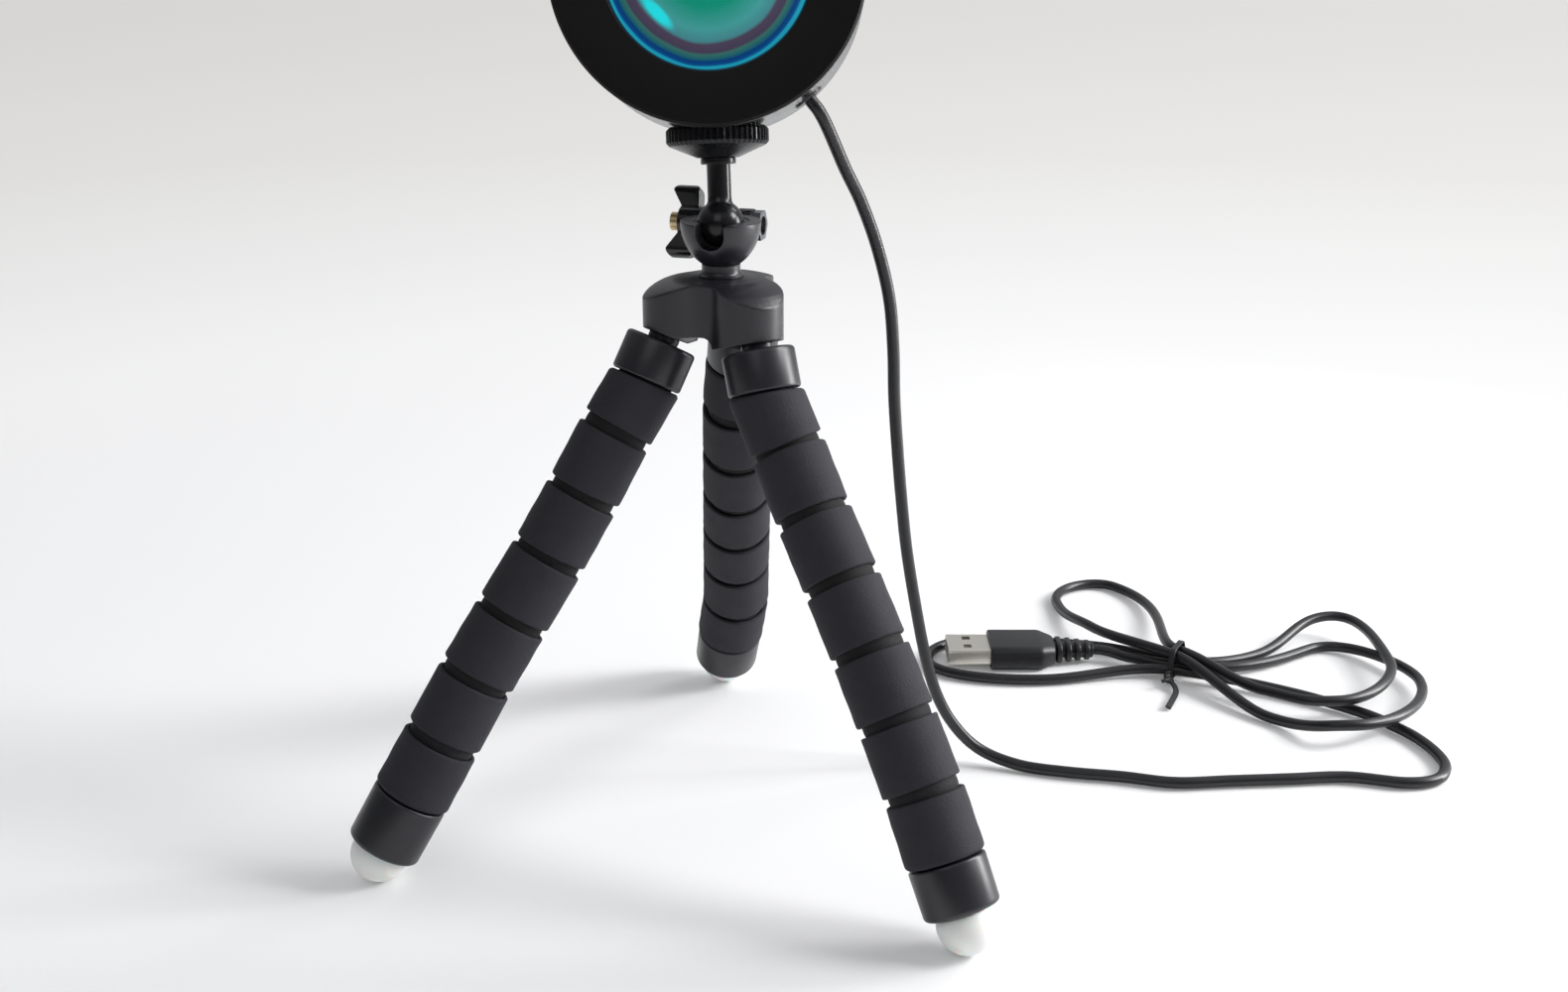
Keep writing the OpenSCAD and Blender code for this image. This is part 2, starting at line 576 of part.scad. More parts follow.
module wing_knob() {
    color("#141518") in_cup() translate([0, clamp_r, clamp_z]) rotate([-wing_turn, 0, 0]) difference() {
        union() {
            translate([knob_out, 0, 0]) rotate([0, 90, 0]) cylinder(r = 3.4, h = knob_l + cup_r - 1.2
                - slit_w / 2 - ear_t - fit - 0.2);
            intersection() {
                rotate([90, 0, 90]) translate([0, 0, knob_out - 4]) linear_extrude(13)
                    polygon(concat(arc(0, wing_r - 2.1, 2.1, 0, 180, 10), arc(0, 2.1 - wing_r, 2.1, 180,
                    360, 10)));
                translate([0, 3, 0]) rotate([90, 0, 0]) linear_extrude(6) polygon(concat([[knob_in - 0.6, 0]],
                    arc(wing_x - wing_e, wing_r - wing_e, wing_e, 0, 90, 5),
                    arc(wing_x - wing_w + wing_e, wing_r - wing_e, wing_e, 90, 180, 5),
                    [[knob_out + 0.6, 2.4], [knob_out + 0.6, -2.4]],
                    arc(wing_x - wing_w + wing_e, wing_e - wing_r, wing_e, 180, 270, 5),
                    arc(wing_x - wing_e, wing_e - wing_r, wing_e, 270, 360, 5)));
            }
        }
        translate([knob_out - 5, 0, 0]) rotate([0, 90, 0]) cylinder(r = screw_d / 2 + fit, h = 20);
    }
}
module clamp_screw() {
    color("#a58a54") in_cup() translate([screw_in, clamp_r, clamp_z]) rotate([0, 90, 0])
        cylinder(r = screw_d / 2, h = screw_out - screw_in);
}
module clamp_nut() {
    color("#55585d") in_cup() translate([slit_w / 2 + ear_t - hex_t + fit, clamp_r, clamp_z])
        rotate([0, 90, 0]) difference() {
            hex(7 * screw_d / 4 - 1, hex_t + nut_out_t);
            translate([0, 0, -1]) cylinder(r = screw_d / 2 + fit, h = 8);
        }
}

// Hub
valley_at = lobe_at / 2 + sqrt(pow(lobe_r + valley_r, 2) - 0.75 * lobe_at * lobe_at);
arch_turn = 47;
seat_z = hub_low + arch_h + 2.4;
module hub() {
    color("#23252a") difference() {
        intersection() {
            union() {
                for (k = [0:2]) {
                    translate(out(lobe(k)) * lobe_at + [0, 0, hub_low]) cylinder(r = lobe_r, h = hub_h);
                    difference() {
                        translate([0, 0, hub_low]) linear_extrude(hub_h) polygon([[0, 0],
                            flat2(lobe(k)) * lobe_at, flat2(lobe(k) - 60) * valley_at,
                            flat2(lobe(k) - 120) * lobe_at]);
                        translate(out(lobe(k) - 60) * valley_at + [0, 0, hub_low - 1])
                            cylinder(r = valley_r, h = hub_h + 2);
                    }
                }
            }
            translate([0, 0, hub_top]) rotate_extrude() polygon(concat([[0, -hub_h - 1],
                [lobe_at + lobe_r + 1, -hub_h - 1]], [for (i = [0:10]) [lobe_at - 1.8 + (lobe_r + 2.8)
                * cos(9 * i), -7.4 + 7 * sin(9 * i)]], [[neck_d / 2, 0], [0, 0]]));
        }
        for (k = [0:2]) {
            in_root(k) {
                translate([-30, -30, socket_up - 40]) cube([60, 60, 40]);
                sphere(r = neck_ball + gap);
                cylinder(r = wire_r + gap, h = 9);
            }
            rotate([0, 0, -(lobe(k) - arch_turn)]) {
                translate([-arch_w / 2, -30, hub_low - 1]) cube([arch_w - arch_h, 30, arch_h + 1]);
                translate([arch_w / 2 - arch_h, 0, hub_low]) rotate([90, 0, 0]) cylinder(r = arch_h, h = 30);
            }
        }
        translate([0, 0, hub_low - 1]) cylinder(r = 5.2, h = arch_h + 1);
        translate([0, 0, hub_top - 6 - fit]) cylinder(r = neck_d / 2 - 0.9 + fit, h = 10);
        translate([0, 0, hub_low - 1]) cylinder(r = 2.2, h = hub_h);
        translate([0, 0, hub_low - 1]) cylinder(r = 4.2, h = seat_z - hub_low + 1);
    }
}
module hub_screw() {
    color("#b9bcc0") difference() {
        union() {
            translate([0, 0, seat_z - fit]) cylinder(r = 2, h = hub_top + 0.6 - seat_z);
            translate([0, 0, seat_z - 2.4]) cylinder(r = 3.6, h = 2.4 - fit);
        }
        translate([-2.4, -0.45, seat_z - 3.4]) cube([4.8, 0.9, 2]);
        translate([-0.45, -2.4, seat_z - 3.4]) cube([0.9, 4.8, 2]);
    }
}

// Legs
module leg_collar(k) {
    color("#1b1c20") in_collar(k) difference() {
        union() {
            rotate_extrude() polygon(rounded(collar_r, collar_r, -face_up, -collar_len, 0.7));
            intersection() {
                sphere(r = neck_ball);
                translate([-10, -10, -2]) cube([20, 20, 2 + neck_top]);
            }
        }
        translate([0, 0, -collar_len - 1]) cylinder(r = collar_r - 1.4, h = collar_len - 3);
        translate([0, 0, -collar_len]) cylinder(r = wire_r + gap, h = 20);
        cylinder(r1 = wire_r + gap, r2 = wire_r + gap + 0.5, h = neck_top + 0.1);
    }
}
module foam_body(k, i, a, b, ra, rb) {
    rotate_extrude() polygon(rounded(ra, rb, a, b, end_round));
}
// First section: its top is cut along the collar's lower face and has a plug in the collar
module foam_top(k) {
    ball = groove_ball(1);
    difference() {
        union() {
            difference() {
                in_leg(k, 0) foam_body(k, 1, 2 - collar_len, groove_w / 2 - collar_len - top_len,
                    foam_r(collar_len - 2), foam_r(sec_top(1)));
                in_collar(k) translate([-20, -20, -collar_len - gap]) cube([40, 40, 20]);
            }
            in_collar(k) translate([0, 0, -collar_len - 1.5]) cylinder(r = collar_r - 1.4 - gap, h = 4.5);
            in_leg(k, 0) intersection() {
                translate([0, 0, -collar_len - top_len]) sphere(r = ball);
                translate([-10, -10, -collar_len - top_len - nose]) cube([20, 20, nose + groove_w]);
            }
        }
        translate(knee(k)) sphere(r = wire_r + gap + 0.1);
        in_collar(k) translate([0, 0, -collar_len]) cylinder(r = wire_r + gap, h = 20);
        in_leg(k, 0) {
            translate([0, 0, -collar_len - 30]) cylinder(r = wire_r + gap, h = 30);
            translate([0, 0, -collar_len - top_len - nose - 0.1])
                cylinder(r1 = wire_r + gap + 1.2, r2 = wire_r + gap, h = nose);
        }
    }
}
module foam_low(k, i) {
    ball = i < 7 ? groove_ball(i) : 0;
    up = groove_ball(i - 1);
    b = i == 7 ? -last_len + gap : -pitch + groove_w / 2;
    in_leg(k, i - 1) difference() {
        union() {
            foam_body(k, i, -groove_w / 2, b, foam_r(sec_top(i - 1)), foam_r(i == 7 ? leg_total : sec_top(i)));
            if (i == 7) translate([0, 0, -last_len - 8]) cylinder(r = cap_d / 2 - 1.5 - gap, h = 9);
            if (i < 7) intersection() {
                translate([0, 0, -pitch]) sphere(r = ball);
                translate([-10, -10, -pitch - nose]) cube([20, 20, nose + groove_w]);
            }
        }
        intersection() {
            sphere(r = up + gap);
            translate([-10, -10, -nose - 1.6]) cube([20, 20, 20]);
        }
        translate([0, 0, i == 7 ? -last_len - 4 : -pitch - nose - 1]) cylinder(r = wire_r + gap, h = 40);
        if (i < 7) translate([0, 0, -pitch - nose - 0.1])
            cylinder(r1 = wire_r + gap + 1.2, r2 = wire_r + gap, h = nose);
    }
}
module leg_foam(k, i) {
    color("#3b3d42") {
        if (i == 1) foam_top(k);
        if (i > 1) foam_low(k, i);
    }
}
module leg_cap(k) {
    color("#1b1c20") in_leg(k, 6) difference() {
        rotate_extrude() polygon(rounded(cap_d / 2, cap_d / 2 - 0.15, -last_len, -last_len - cap_len[k], 1));
        translate([0, 0, -last_len - 8.5]) cylinder(r = cap_d / 2 - 1.5, h = 20);
        translate([0, 0, -last_len - cap_len[k] - 1]) cylinder(r = 4 + gap, h = 3.4);
    }
}
module leg_foot(k) {
    color("#e9ece8") in_leg(k, 6) {
        intersection() {
            translate([0, 0, -last_len - cap_len[k] - foot_out[k]]) sphere(r = foot_r);
            translate([-10, -10, -last_len - cap_len[k] - gap - 20]) cube([20, 20, 20]);
        }
        translate([0, 0, -last_len - cap_len[k] - foot_out[k]]) cylinder(r = 4, h = foot_out[k] + 2);
    }
}
// Round rod from a to b, c short of each end
module rod(a, b, r, c) {
    d = b - a;
    translate(a) rotate([0, acos(d[2] / norm(d)), atan2(d[1], d[0])]) translate([0, 0, c])
        cylinder(r = r, h = norm(d) - 2 * c);
}
module leg_wire(k) {
    bend_r = wire_r + 0.12;
    c = 0.3;
    color("#a9acb0") {
        in_root(k) translate([0, 0, c]) cylinder(r = wire_r, h = 8 - c);
        rod(root(k), knee(k), wire_r, c);
        rod(knee(k), pivot(k, 1), wire_r, c);
        for (i = [1:5]) rod(pivot(k, i), pivot(k, i + 1), wire_r, c);
        for (p = concat([root(k), knee(k)], [for (i = [1:6]) pivot(k, i)])) translate(p) sphere(r = bend_r);
        in_leg(k, 6) translate([0, 0, -last_len - 3]) cylinder(r = wire_r, h = last_len + 3 - c);
    }
}

// Lead, tie and plug
function frames(p, i, v) = i >= len(p) ? [] :
    let (t = unit(i == 0 ? p[1] - p[0] : i == len(p) - 1 ? p[i] - p[i - 1] : p[i + 1] - p[i - 1]),
        w = unit(v - (v * t) * t))
    concat([[w, cross(t, w)]], frames(p, i + 1, w));
module tube(p, r, n, v) {
    f = frames(p, 0, v);
    m = len(p);
    polyhedron(points = [for (i = [0:m - 1]) for (j = [0:n - 1]) p[i] + r * (cos(360 * j / n) * f[i][0]
        + sin(360 * j / n) * f[i][1])],
        faces = concat([[for (j = [0:n - 1]) j]], [[for (j = [0:n - 1]) (m - 1) * n + n - 1 - j]],
        [for (i = [0:m - 2]) for (j = [0:n - 1]) [i * n + j, (i + 1) * n + j, (i + 1) * n + (j + 1) % n]],
        [for (i = [0:m - 2]) for (j = [0:n - 1]) [i * n + j, (i + 1) * n + (j + 1) % n,
        i * n + (j + 1) % n]]));
}
module cord_run() {
    color("#141416") tube(run_path, cord_d / 2, 8, [0, 1, 0.1]);
}
module cord_hank() {
    color("#141416") tube(hank_path, cord_d / 2, 6, [0, 0, 1]);
}
// Outline of the tie's band, r outside the strands' centres
function band(r) = concat(arc(-3.95, 2.5, r, 160, 270, 8), arc(4.1, 2.5, r, 270, 384, 8),
    arc(2.4, 6.3, r, 24, 90, 5), arc(-2.55, 6.3, r, 90, 160, 5));
module twist_tie() {
    ri = cord_d * 0.6 + 0.2;
    ro = ri + 0.55;
    color("#101012") translate([123, 75.7, 0]) rotate([0, 0, 60]) {
        rotate([90, 0, 0]) translate([0, 0, -tie_w / 2]) difference() {
            linear_extrude(tie_w) polygon(band(ro));
            translate([0, 0, -1]) linear_extrude(tie_w + 2) polygon(band(ri));
        }
        translate([-3.95 - ro - 0.5, 0, 2.1]) rotate([90, 0, 0]) cylinder(r = 1.1, h = 3, center = true);
        translate([-3.95 - ro - 0.5, 0, 1.2]) rotate([0, 90, 197]) cylinder(r = 0.75, h = 17);
    }
}
module in_plug() {
    translate(plug_p) rotate([0, 0, plug_turn]) children();
}
module plug_body() {
    b = 15;
    color("#17181a") in_plug() difference() {
        union() {
            intersection() {
                rotate([90, 0, 90]) linear_extrude(b + plug_len) polygon(rrect(plug_w, plug_t, 2.2));
                translate([0, 0, -10]) linear_extrude(20) polygon([[b, -plug_w / 2],
                    [b + plug_len, -plug_w / 2], [b + plug_len, plug_w / 2], [b, plug_w / 2],
                    [b - 4, 5.2], [b - 4, -5.2]]);
                rotate([90, 0, 0]) translate([0, 0, -20]) linear_extrude(40) polygon([[b - 4, -2.7],
                    [b, -plug_t / 2], [b + plug_len, -plug_t / 2], [b + plug_len, plug_t / 2],
                    [b, plug_t / 2], [b - 4, 2.7]]);
            }
            rotate([0, 90, 0]) cylinder(r = 2.2, h = b);
            for (i = [0:3]) translate([1.2 + 2.6 * i, 0, 0]) rotate([90, 0, 90]) linear_extrude(1.5)
                polygon(rrect(6 + i, 5 + 0.25 * i, 2.3));
        }
        translate([b + plug_len - 4, 0, 0]) rotate([90, 0, 90])
            linear_extrude(6) polygon(rrect(shell_w + 2 * fit, shell_t + 2 * fit, 0.6));
        translate([b + 3, -3.5, plug_t / 2 - 0.4]) cube([6, 1.4, 2]);
        translate([b + 3, 2.1, plug_t / 2 - 0.4]) cube([6, 1.4, 2]);
    }
}
module plug_shell() {
    a = 15 + plug_len - 4 + fit;
    color("#cfc9bd") in_plug() difference() {
        translate([a, 0, 0]) rotate([90, 0, 90]) linear_extrude(shell_len + 4) polygon(rrect(shell_w,
            shell_t, 0.6));
        translate([a - 1, 0, 0]) rotate([90, 0, 90]) linear_extrude(shell_len + 8) polygon(rrect(shell_w
            - 0.7, shell_t - 0.7, 0.35));
        for (s = [-1, 1]) translate([a + 9, s * 2.9 - 1.1, -10]) cube([2.2, 2.2, 20]);
    }
}
module plug_tongue() {
    a = 15 + plug_len - 4 + fit;
    w = shell_w - 0.7 - 2 * fit;
    h = shell_t - 0.7 - 2 * fit;
    color("#e9e9e6") in_plug() {
        translate([a + 0.1, 0, 0]) rotate([90, 0, 90]) intersection() {
            linear_extrude(shell_len + 3.4) polygon(rrect(w, h, 0.3));
            translate([-w, -h, 0]) linear_extrude(shell_len + 4) square([2 * w, h / 2 + 1.8]);
        }
        translate([a + 0.1, 0, 0]) rotate([90, 0, 90]) linear_extrude(4.5) polygon(rrect(w, h, 0.3));
        for (i = [-1.5:1:1.5]) translate([a + 4, 2.5 * i - 0.6, 2.15 - shell_t / 2 + fit - 0.1])
            cube([shell_len - 2, 1.2, 0.35]);
    }
}

front_bezel();
lens();
lens_gasket();
reflector();
led_chip();
led_board();
heat_sink();
head_housing();
board_screws();
head_screws();
mount_nut();
cord_grommet();
lock_wheel();
ball_stem();
ball_seat();
ball_cup();
wing_knob();
clamp_screw();
clamp_nut();
hub();
hub_screw();
leg_collar(0);  // leg_1_collar
leg_foam(0, 1);  // leg_1_foam_1
leg_foam(0, 2);  // leg_1_foam_2
leg_foam(0, 3);  // leg_1_foam_3
leg_foam(0, 4);  // leg_1_foam_4
leg_foam(0, 5);  // leg_1_foam_5
leg_foam(0, 6);  // leg_1_foam_6
leg_foam(0, 7);  // leg_1_foam_7
leg_cap(0);  // leg_1_cap
leg_foot(0);  // leg_1_foot
leg_wire(0);  // leg_1_wire
leg_collar(1);  // leg_2_collar
leg_foam(1, 1);  // leg_2_foam_1
leg_foam(1, 2);  // leg_2_foam_2
leg_foam(1, 3);  // leg_2_foam_3
leg_foam(1, 4);  // leg_2_foam_4
leg_foam(1, 5);  // leg_2_foam_5
leg_foam(1, 6);  // leg_2_foam_6
leg_foam(1, 7);  // leg_2_foam_7
leg_cap(1);  // leg_2_cap
leg_foot(1);  // leg_2_foot
leg_wire(1);  // leg_2_wire
leg_collar(2);  // leg_3_collar
leg_foam(2, 1);  // leg_3_foam_1
leg_foam(2, 2);  // leg_3_foam_2
leg_foam(2, 3);  // leg_3_foam_3
leg_foam(2, 4);  // leg_3_foam_4
leg_foam(2, 5);  // leg_3_foam_5
leg_foam(2, 6);  // leg_3_foam_6
leg_foam(2, 7);  // leg_3_foam_7
leg_cap(2);  // leg_3_cap
leg_foot(2);  // leg_3_foot
leg_wire(2);  // leg_3_wire
cord_run();
cord_hank();
twist_tie();
plug_body();
plug_shell();
plug_tongue();
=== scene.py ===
"""Looks of a small lamp that projects a sunset glow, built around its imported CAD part. Lengths in the code
are millimetres in the row frame (the hub's axis meets the floor at the origin, z is up, the lamp faces
-y)."""
import math

import bmesh
import bpy
import numpy as np
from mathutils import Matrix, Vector


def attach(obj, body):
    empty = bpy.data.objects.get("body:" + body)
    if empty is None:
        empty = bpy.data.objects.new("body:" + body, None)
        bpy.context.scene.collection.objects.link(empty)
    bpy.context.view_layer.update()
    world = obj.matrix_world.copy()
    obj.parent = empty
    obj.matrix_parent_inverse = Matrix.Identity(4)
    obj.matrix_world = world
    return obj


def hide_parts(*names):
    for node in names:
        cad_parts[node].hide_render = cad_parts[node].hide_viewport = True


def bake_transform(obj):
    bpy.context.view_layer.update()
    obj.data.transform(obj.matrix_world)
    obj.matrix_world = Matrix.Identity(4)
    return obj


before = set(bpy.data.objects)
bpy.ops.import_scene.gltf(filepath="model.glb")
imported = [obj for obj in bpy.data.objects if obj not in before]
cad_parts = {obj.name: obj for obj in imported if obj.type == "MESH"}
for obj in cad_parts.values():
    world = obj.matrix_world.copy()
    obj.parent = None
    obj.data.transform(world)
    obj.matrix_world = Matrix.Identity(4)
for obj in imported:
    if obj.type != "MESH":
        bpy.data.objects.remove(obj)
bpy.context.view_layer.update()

bl_info = {
    "name": "Sunset Lamp Looks",
    "version": (1, 0, 0),
    "blender": (4, 5, 0),
    "location": "View3D > Sidebar > Lamp",
    "description": "Builds the lamp's visible surfaces, materials, lead, floor, lights and camera",
    "category": "Add Mesh",
}

MM = 0.001
TAU = 2 * math.pi


# ---------------------------------------------------------------- places
def turn(axis, degrees):
    """4x4 turn about one axis: the two other coordinates mix by the angle's cosine and sine."""
    c, s = math.cos(math.radians(degrees)), math.sin(math.radians(degrees))
    i, j = {"x": (1, 2), "y": (2, 0), "z": (0, 1)}[axis]
    m = np.eye(4)
    m[i, i] = m[j, j] = c
    m[i, j], m[j, i] = -s, s
    return m


def move(x, y, z):
    """4x4 shift by x, y and z."""
    m = np.eye(4)
    m[:3, 3] = x, y, z
    return m


# Ball joint's centre and the legs' roots: heights, and the roots' distance from the hub's axis
BALL_Z = 137.583
ROOT_R, ROOT_Z = 12.4, 113.433
# Heading of each leg's lobe; heading and tilt of its collar and of its seven links, in degrees
LOBES = (84, -36, -156)
COLLARS = ((58.8, 28.5), (-28, 20.9), (169.7, 23.5))
HEADINGS = (
    (64.3, 67, 67, 67, 67, 67, 70),
    (-51.9,) + (-37.5,) * 6,
    (169.7,) + (179.4,) * 5 + (168.4,),
)
TILTS = (
    (34.7, 31.1, 32.8, 34.9, 34.3, 32.1, 31.5),
    (27.472, 33.872, 36.672, 35.672, 34.172, 32.872, 29.072),
    (23.494, 30.794, 33.994, 35.894, 35.094, 32.094, 31.394),
)
# Radius of the neck's ball on each collar; how far each foot's dome stands out of its cap
NECK_R = 3.4
FOOT_OUT = (1.2, 2.6, 1.2)
# The lead leaves the head's side at this turn from straight down, this far out and behind the head's middle
EXIT_TURN, EXIT_R, EXIT_BACK = 37, 32.4, 1.5
HEAD_H = 51
STEM = move(0, 0, BALL_Z) @ turn("x", -10.8) @ turn("y", -1.5)
STUD = STEM @ turn("z", -2.8)
HEAD = STUD @ move(0, 0, HEAD_H) @ turn("x", 90)
PLUG = move(102, 85, 3.45) @ turn("z", 178)


def steps_of(s, k):
    """Lengths of a leg's seven links: the collar with the first sleeve, five middle ones, the last with its
    cap."""
    first, last = s.collar_length + s.top_sleeve, s.last_sleeve + s.cap_lengths[k]
    return [first] + [s.sleeve_pitch] * 5 + [last]


def way(heading, tilt):
    """Unit vector down a link: (-sin heading sin tilt, -cos heading sin tilt, -cos tilt)."""
    h, t = math.radians(heading), math.radians(tilt)
    return np.array([-math.sin(h) * math.sin(t), -math.cos(h) * math.sin(t), -math.cos(t)])


def collar_place(k):
    """Frame of the collar of leg k at its root, which runs down its own -z."""
    lobe = math.radians(LOBES[k])
    root = move(-math.sin(lobe) * ROOT_R, -math.cos(lobe) * ROOT_R, ROOT_Z)
    return root @ turn("z", -COLLARS[k][0]) @ turn("x", -COLLARS[k][1])


def leg_place(s, k, i):
    """Frame of link i of leg k, which runs down its own -z. Link 0 starts a collar's length above the knee,
    the foot of the collar's axis, and each later one where the last one ends."""
    bend = way(*COLLARS[k]) - way(HEADINGS[k][0], TILTS[k][0])
    p = collar_place(k)[:3, 3] + s.collar_length / MM * bend
    for n, step in enumerate(steps_of(s, k)[:i]):
        p = p + step / MM * way(HEADINGS[k][n], TILTS[k][n])
    return move(*p) @ turn("z", -HEADINGS[k][i]) @ turn("x", -TILTS[k][i])


# ---------------------------------------------------------------- surfaces
def rounded(points, n=5):
    """Outline through [x, y, radius] points: a corner with a radius becomes the arc of the circle that
    touches its two sides, found by turning evenly from one touching point to the other about the circle's
    centre."""
    out = []
    for k, (x, y, r) in enumerate(points):
        p = np.array([x, y], float)
        if r <= 0 or k in (0, len(points) - 1):
            out.append(p)
            continue
        a, b = np.array(points[k - 1][:2]) - p, np.array(points[k + 1][:2]) - p
        la, lb = np.linalg.norm(a), np.linalg.norm(b)
        a, b = a / la, b / lb
        half = math.acos(np.clip(a @ b, -1, 1)) / 2
        cut = min(r / math.tan(half), 0.49 * la, 0.49 * lb)
        c = p + (a + b) / np.linalg.norm(a + b) * cut / math.cos(half)
        arc = math.pi - 2 * half
        t = np.linspace(0, 1, n + 1)[:, None]
        start, end = p + a * cut - c, p + b * cut - c
        out.extend(c + (np.sin((1 - t) * arc) * start + np.sin(t * arc) * end) / math.sin(arc))
    return np.array(out)


def lathe(outline, place, n=96):
    """Rings about the place's z axis, one for each outline point [radius, height]: (radius cos a, radius
    sin a, height) with a from 0 to a full turn."""
    a = np.linspace(0, TAU, n, endpoint=False)
    o = np.asarray(outline, float)
    r, h = o[:, :1], np.repeat(o[:, 1:2], n, 1)
    return put(np.stack([r * np.cos(a), r * np.sin(a), h], -1), place)


def put(points, place):
    """Points moved by a 4x4 place."""
    return points @ place[:3, :3].T + place[:3, 3]


def ring_frames(path):
    """Two unit vectors square to the path at each point, carried along it: each is the last one less its
    part along the new direction, made unit again."""
    t = np.gradient(path, axis=0)
    t /= np.linalg.norm(t, axis=1)[:, None]
    v = np.cross(t[0], [0.3, 0.2, 1])
    us = []
    for d in t:
        v = v - (v @ d) * d
        v /= np.linalg.norm(v)
        us.append(v)
    u = np.array(us)
    return u, np.cross(t, u)


def sweep(path, section):
    """A closed outline [across, up] carried along a path: each point is the path's, plus its two numbers
    times the two vectors square to the path there. The section may be one outline or one for each path
    point."""
    u, w = ring_frames(path)
    s = np.asarray(section, float)
    if s.ndim == 2:
        s = np.repeat(s[None], len(path), 0)
    return path[:, None] + s[..., :1] * u[:, None] + s[..., 1:] * w[:, None]


def circle(r, n=20):
    """Outline of a circle."""
    a = np.linspace(0, TAU, n, endpoint=False)
    return r * np.stack([np.cos(a), np.sin(a)], -1)


def box_outline(w, h, r, n=6):
    """Outline of a rounded rectangle: each corner's centre plus r times the cosine and sine of a quarter
    turn."""
    r = min(r, w / 2 - 0.01, h / 2 - 0.01)
    a = np.linspace(0, math.pi / 2, n + 1)
    corners = ((1, 1, 0), (-1, 1, math.pi / 2), (-1, -1, math.pi), (1, -1, 1.5 * math.pi))
    return np.vstack([
        np.stack([x * (w / 2 - r) + r * np.cos(a + q), y * (h / 2 - r) + r * np.sin(a + q)], -1)
        for x, y, q in corners
    ])


def arc_lengths(path):
    """Length along a line from its start to each of its points."""
    return np.concatenate([[0], np.cumsum(np.linalg.norm(np.diff(path, axis=0), axis=1))])


def even(path, step):
    """The same line with its points an even distance apart: coordinates read off at even arc lengths."""
    d = arc_lengths(path)
    at = np.linspace(0, d[-1], max(2, int(round(d[-1] / step)) + 1))
    return np.stack([np.interp(at, d, path[:, k]) for k in range(3)], -1)


def through(points, per=12):
    """Catmull-Rom line: between b and c, with a before and d after, half of 2b + (c - a) t + (2a - 5b + 4c
    - d) t^2 + (3b - a - 3c + d) t^3."""
    p = np.asarray(points, float)
    q = np.vstack([2 * p[0] - p[1], p, 2 * p[-1] - p[-2]])
    t = np.linspace(0, 1, per, endpoint=False)[:, None]
    a, b, c, d = (q[k:len(q) - 3 + k][:, None] for k in range(4))
    line = 0.5 * (2 * b + (c - a) * t + (2 * a - 5 * b + 4 * c - d) * t ** 2
                  + (3 * b - a - 3 * c + d) * t ** 3)
    return np.vstack([line.reshape(-1, 3), p[-1:]])


def through_knots(knots, per=24):
    """Bezier line through knots [x, y, z, heading, back, forward]: from p to s with handles q and r, the sum
    u^3 p + 3 u^2 t q + 3 u t^2 r + t^3 s with u = 1 - t, handles lying flat along the headings."""
    k = np.asarray(knots, float)
    a = np.radians(k[:, 3])
    d = np.stack([np.cos(a), np.sin(a), 0 * a], -1)
    p, s = k[:-1, None, :3], k[1:, None, :3]
    q = p + (d[:-1] * k[:-1, 5:6])[:, None]
    r = s - (d[1:] * k[1:, 4:5])[:, None]
    t = np.linspace(0, 1, per, endpoint=False)[:, None]
    u = 1 - t
    line = u ** 3 * p + 3 * u ** 2 * t * q + 3 * u * t ** 2 * r + t ** 3 * s
    return np.vstack([line.reshape(-1, 3), k[-1:, :3]])


def skin(rings, loop=False):
    """Vertices, quads and triangles of rows of closed rings: neighbouring rows are joined by quads. The
    first and last row close on a pole at their mean point, or on each other where loop is set. Turned
    outward by volume."""
    p = np.asarray(rings, float)
    m, n = p.shape[:2]
    rows = m if loop else m - 1
    i, j = np.meshgrid(np.arange(rows), np.arange(n), indexing="ij")
    e, k = (i + 1) % m, (j + 1) % n
    quads = np.stack([i * n + j, i * n + k, e * n + k, e * n + j], -1).reshape(-1, 4)
    v = p.reshape(-1, 3)
    tris = np.zeros((0, 3), int)
    if not loop:
        v = np.vstack([v, p[0].mean(0), p[-1].mean(0)])
        j = np.arange(n)
        k = (j + 1) % n
        tris = np.vstack([np.stack([k, j, 0 * j + m * n], -1),
                          np.stack([(m - 1) * n + j, (m - 1) * n + k, 0 * j + m * n + 1], -1)])
    a, b, c, d = (v[quads[:, x]] - v.mean(0) for x in range(4))
    volume = (np.einsum("ij,ij->i", a, np.cross(b, c)) + np.einsum("ij,ij->i", a, np.cross(c, d))).sum()
    if len(tris):
        x, y, z = (v[tris[:, w]] - v.mean(0) for w in range(3))
        volume += np.einsum("ij,ij->i", x, np.cross(y, z)).sum()
    return (v, quads, tris) if volume > 0 else (v, quads[:, ::-1], tris[:, ::-1])


def add(name, data):
    """Object with a mesh, a light or a camera, put in the scene."""
    o = bpy.data.objects.new(name, data)
    bpy.context.scene.collection.objects.link(o)
    return o


def merge_points(mesh, distance):
    """Makes one point of those nearer to each other than the distance in metres."""
    bm = bmesh.new()
    bm.from_mesh(mesh)
    bmesh.ops.remove_doubles(bm, verts=bm.verts, dist=distance)
    bm.to_mesh(mesh)
    bm.free()


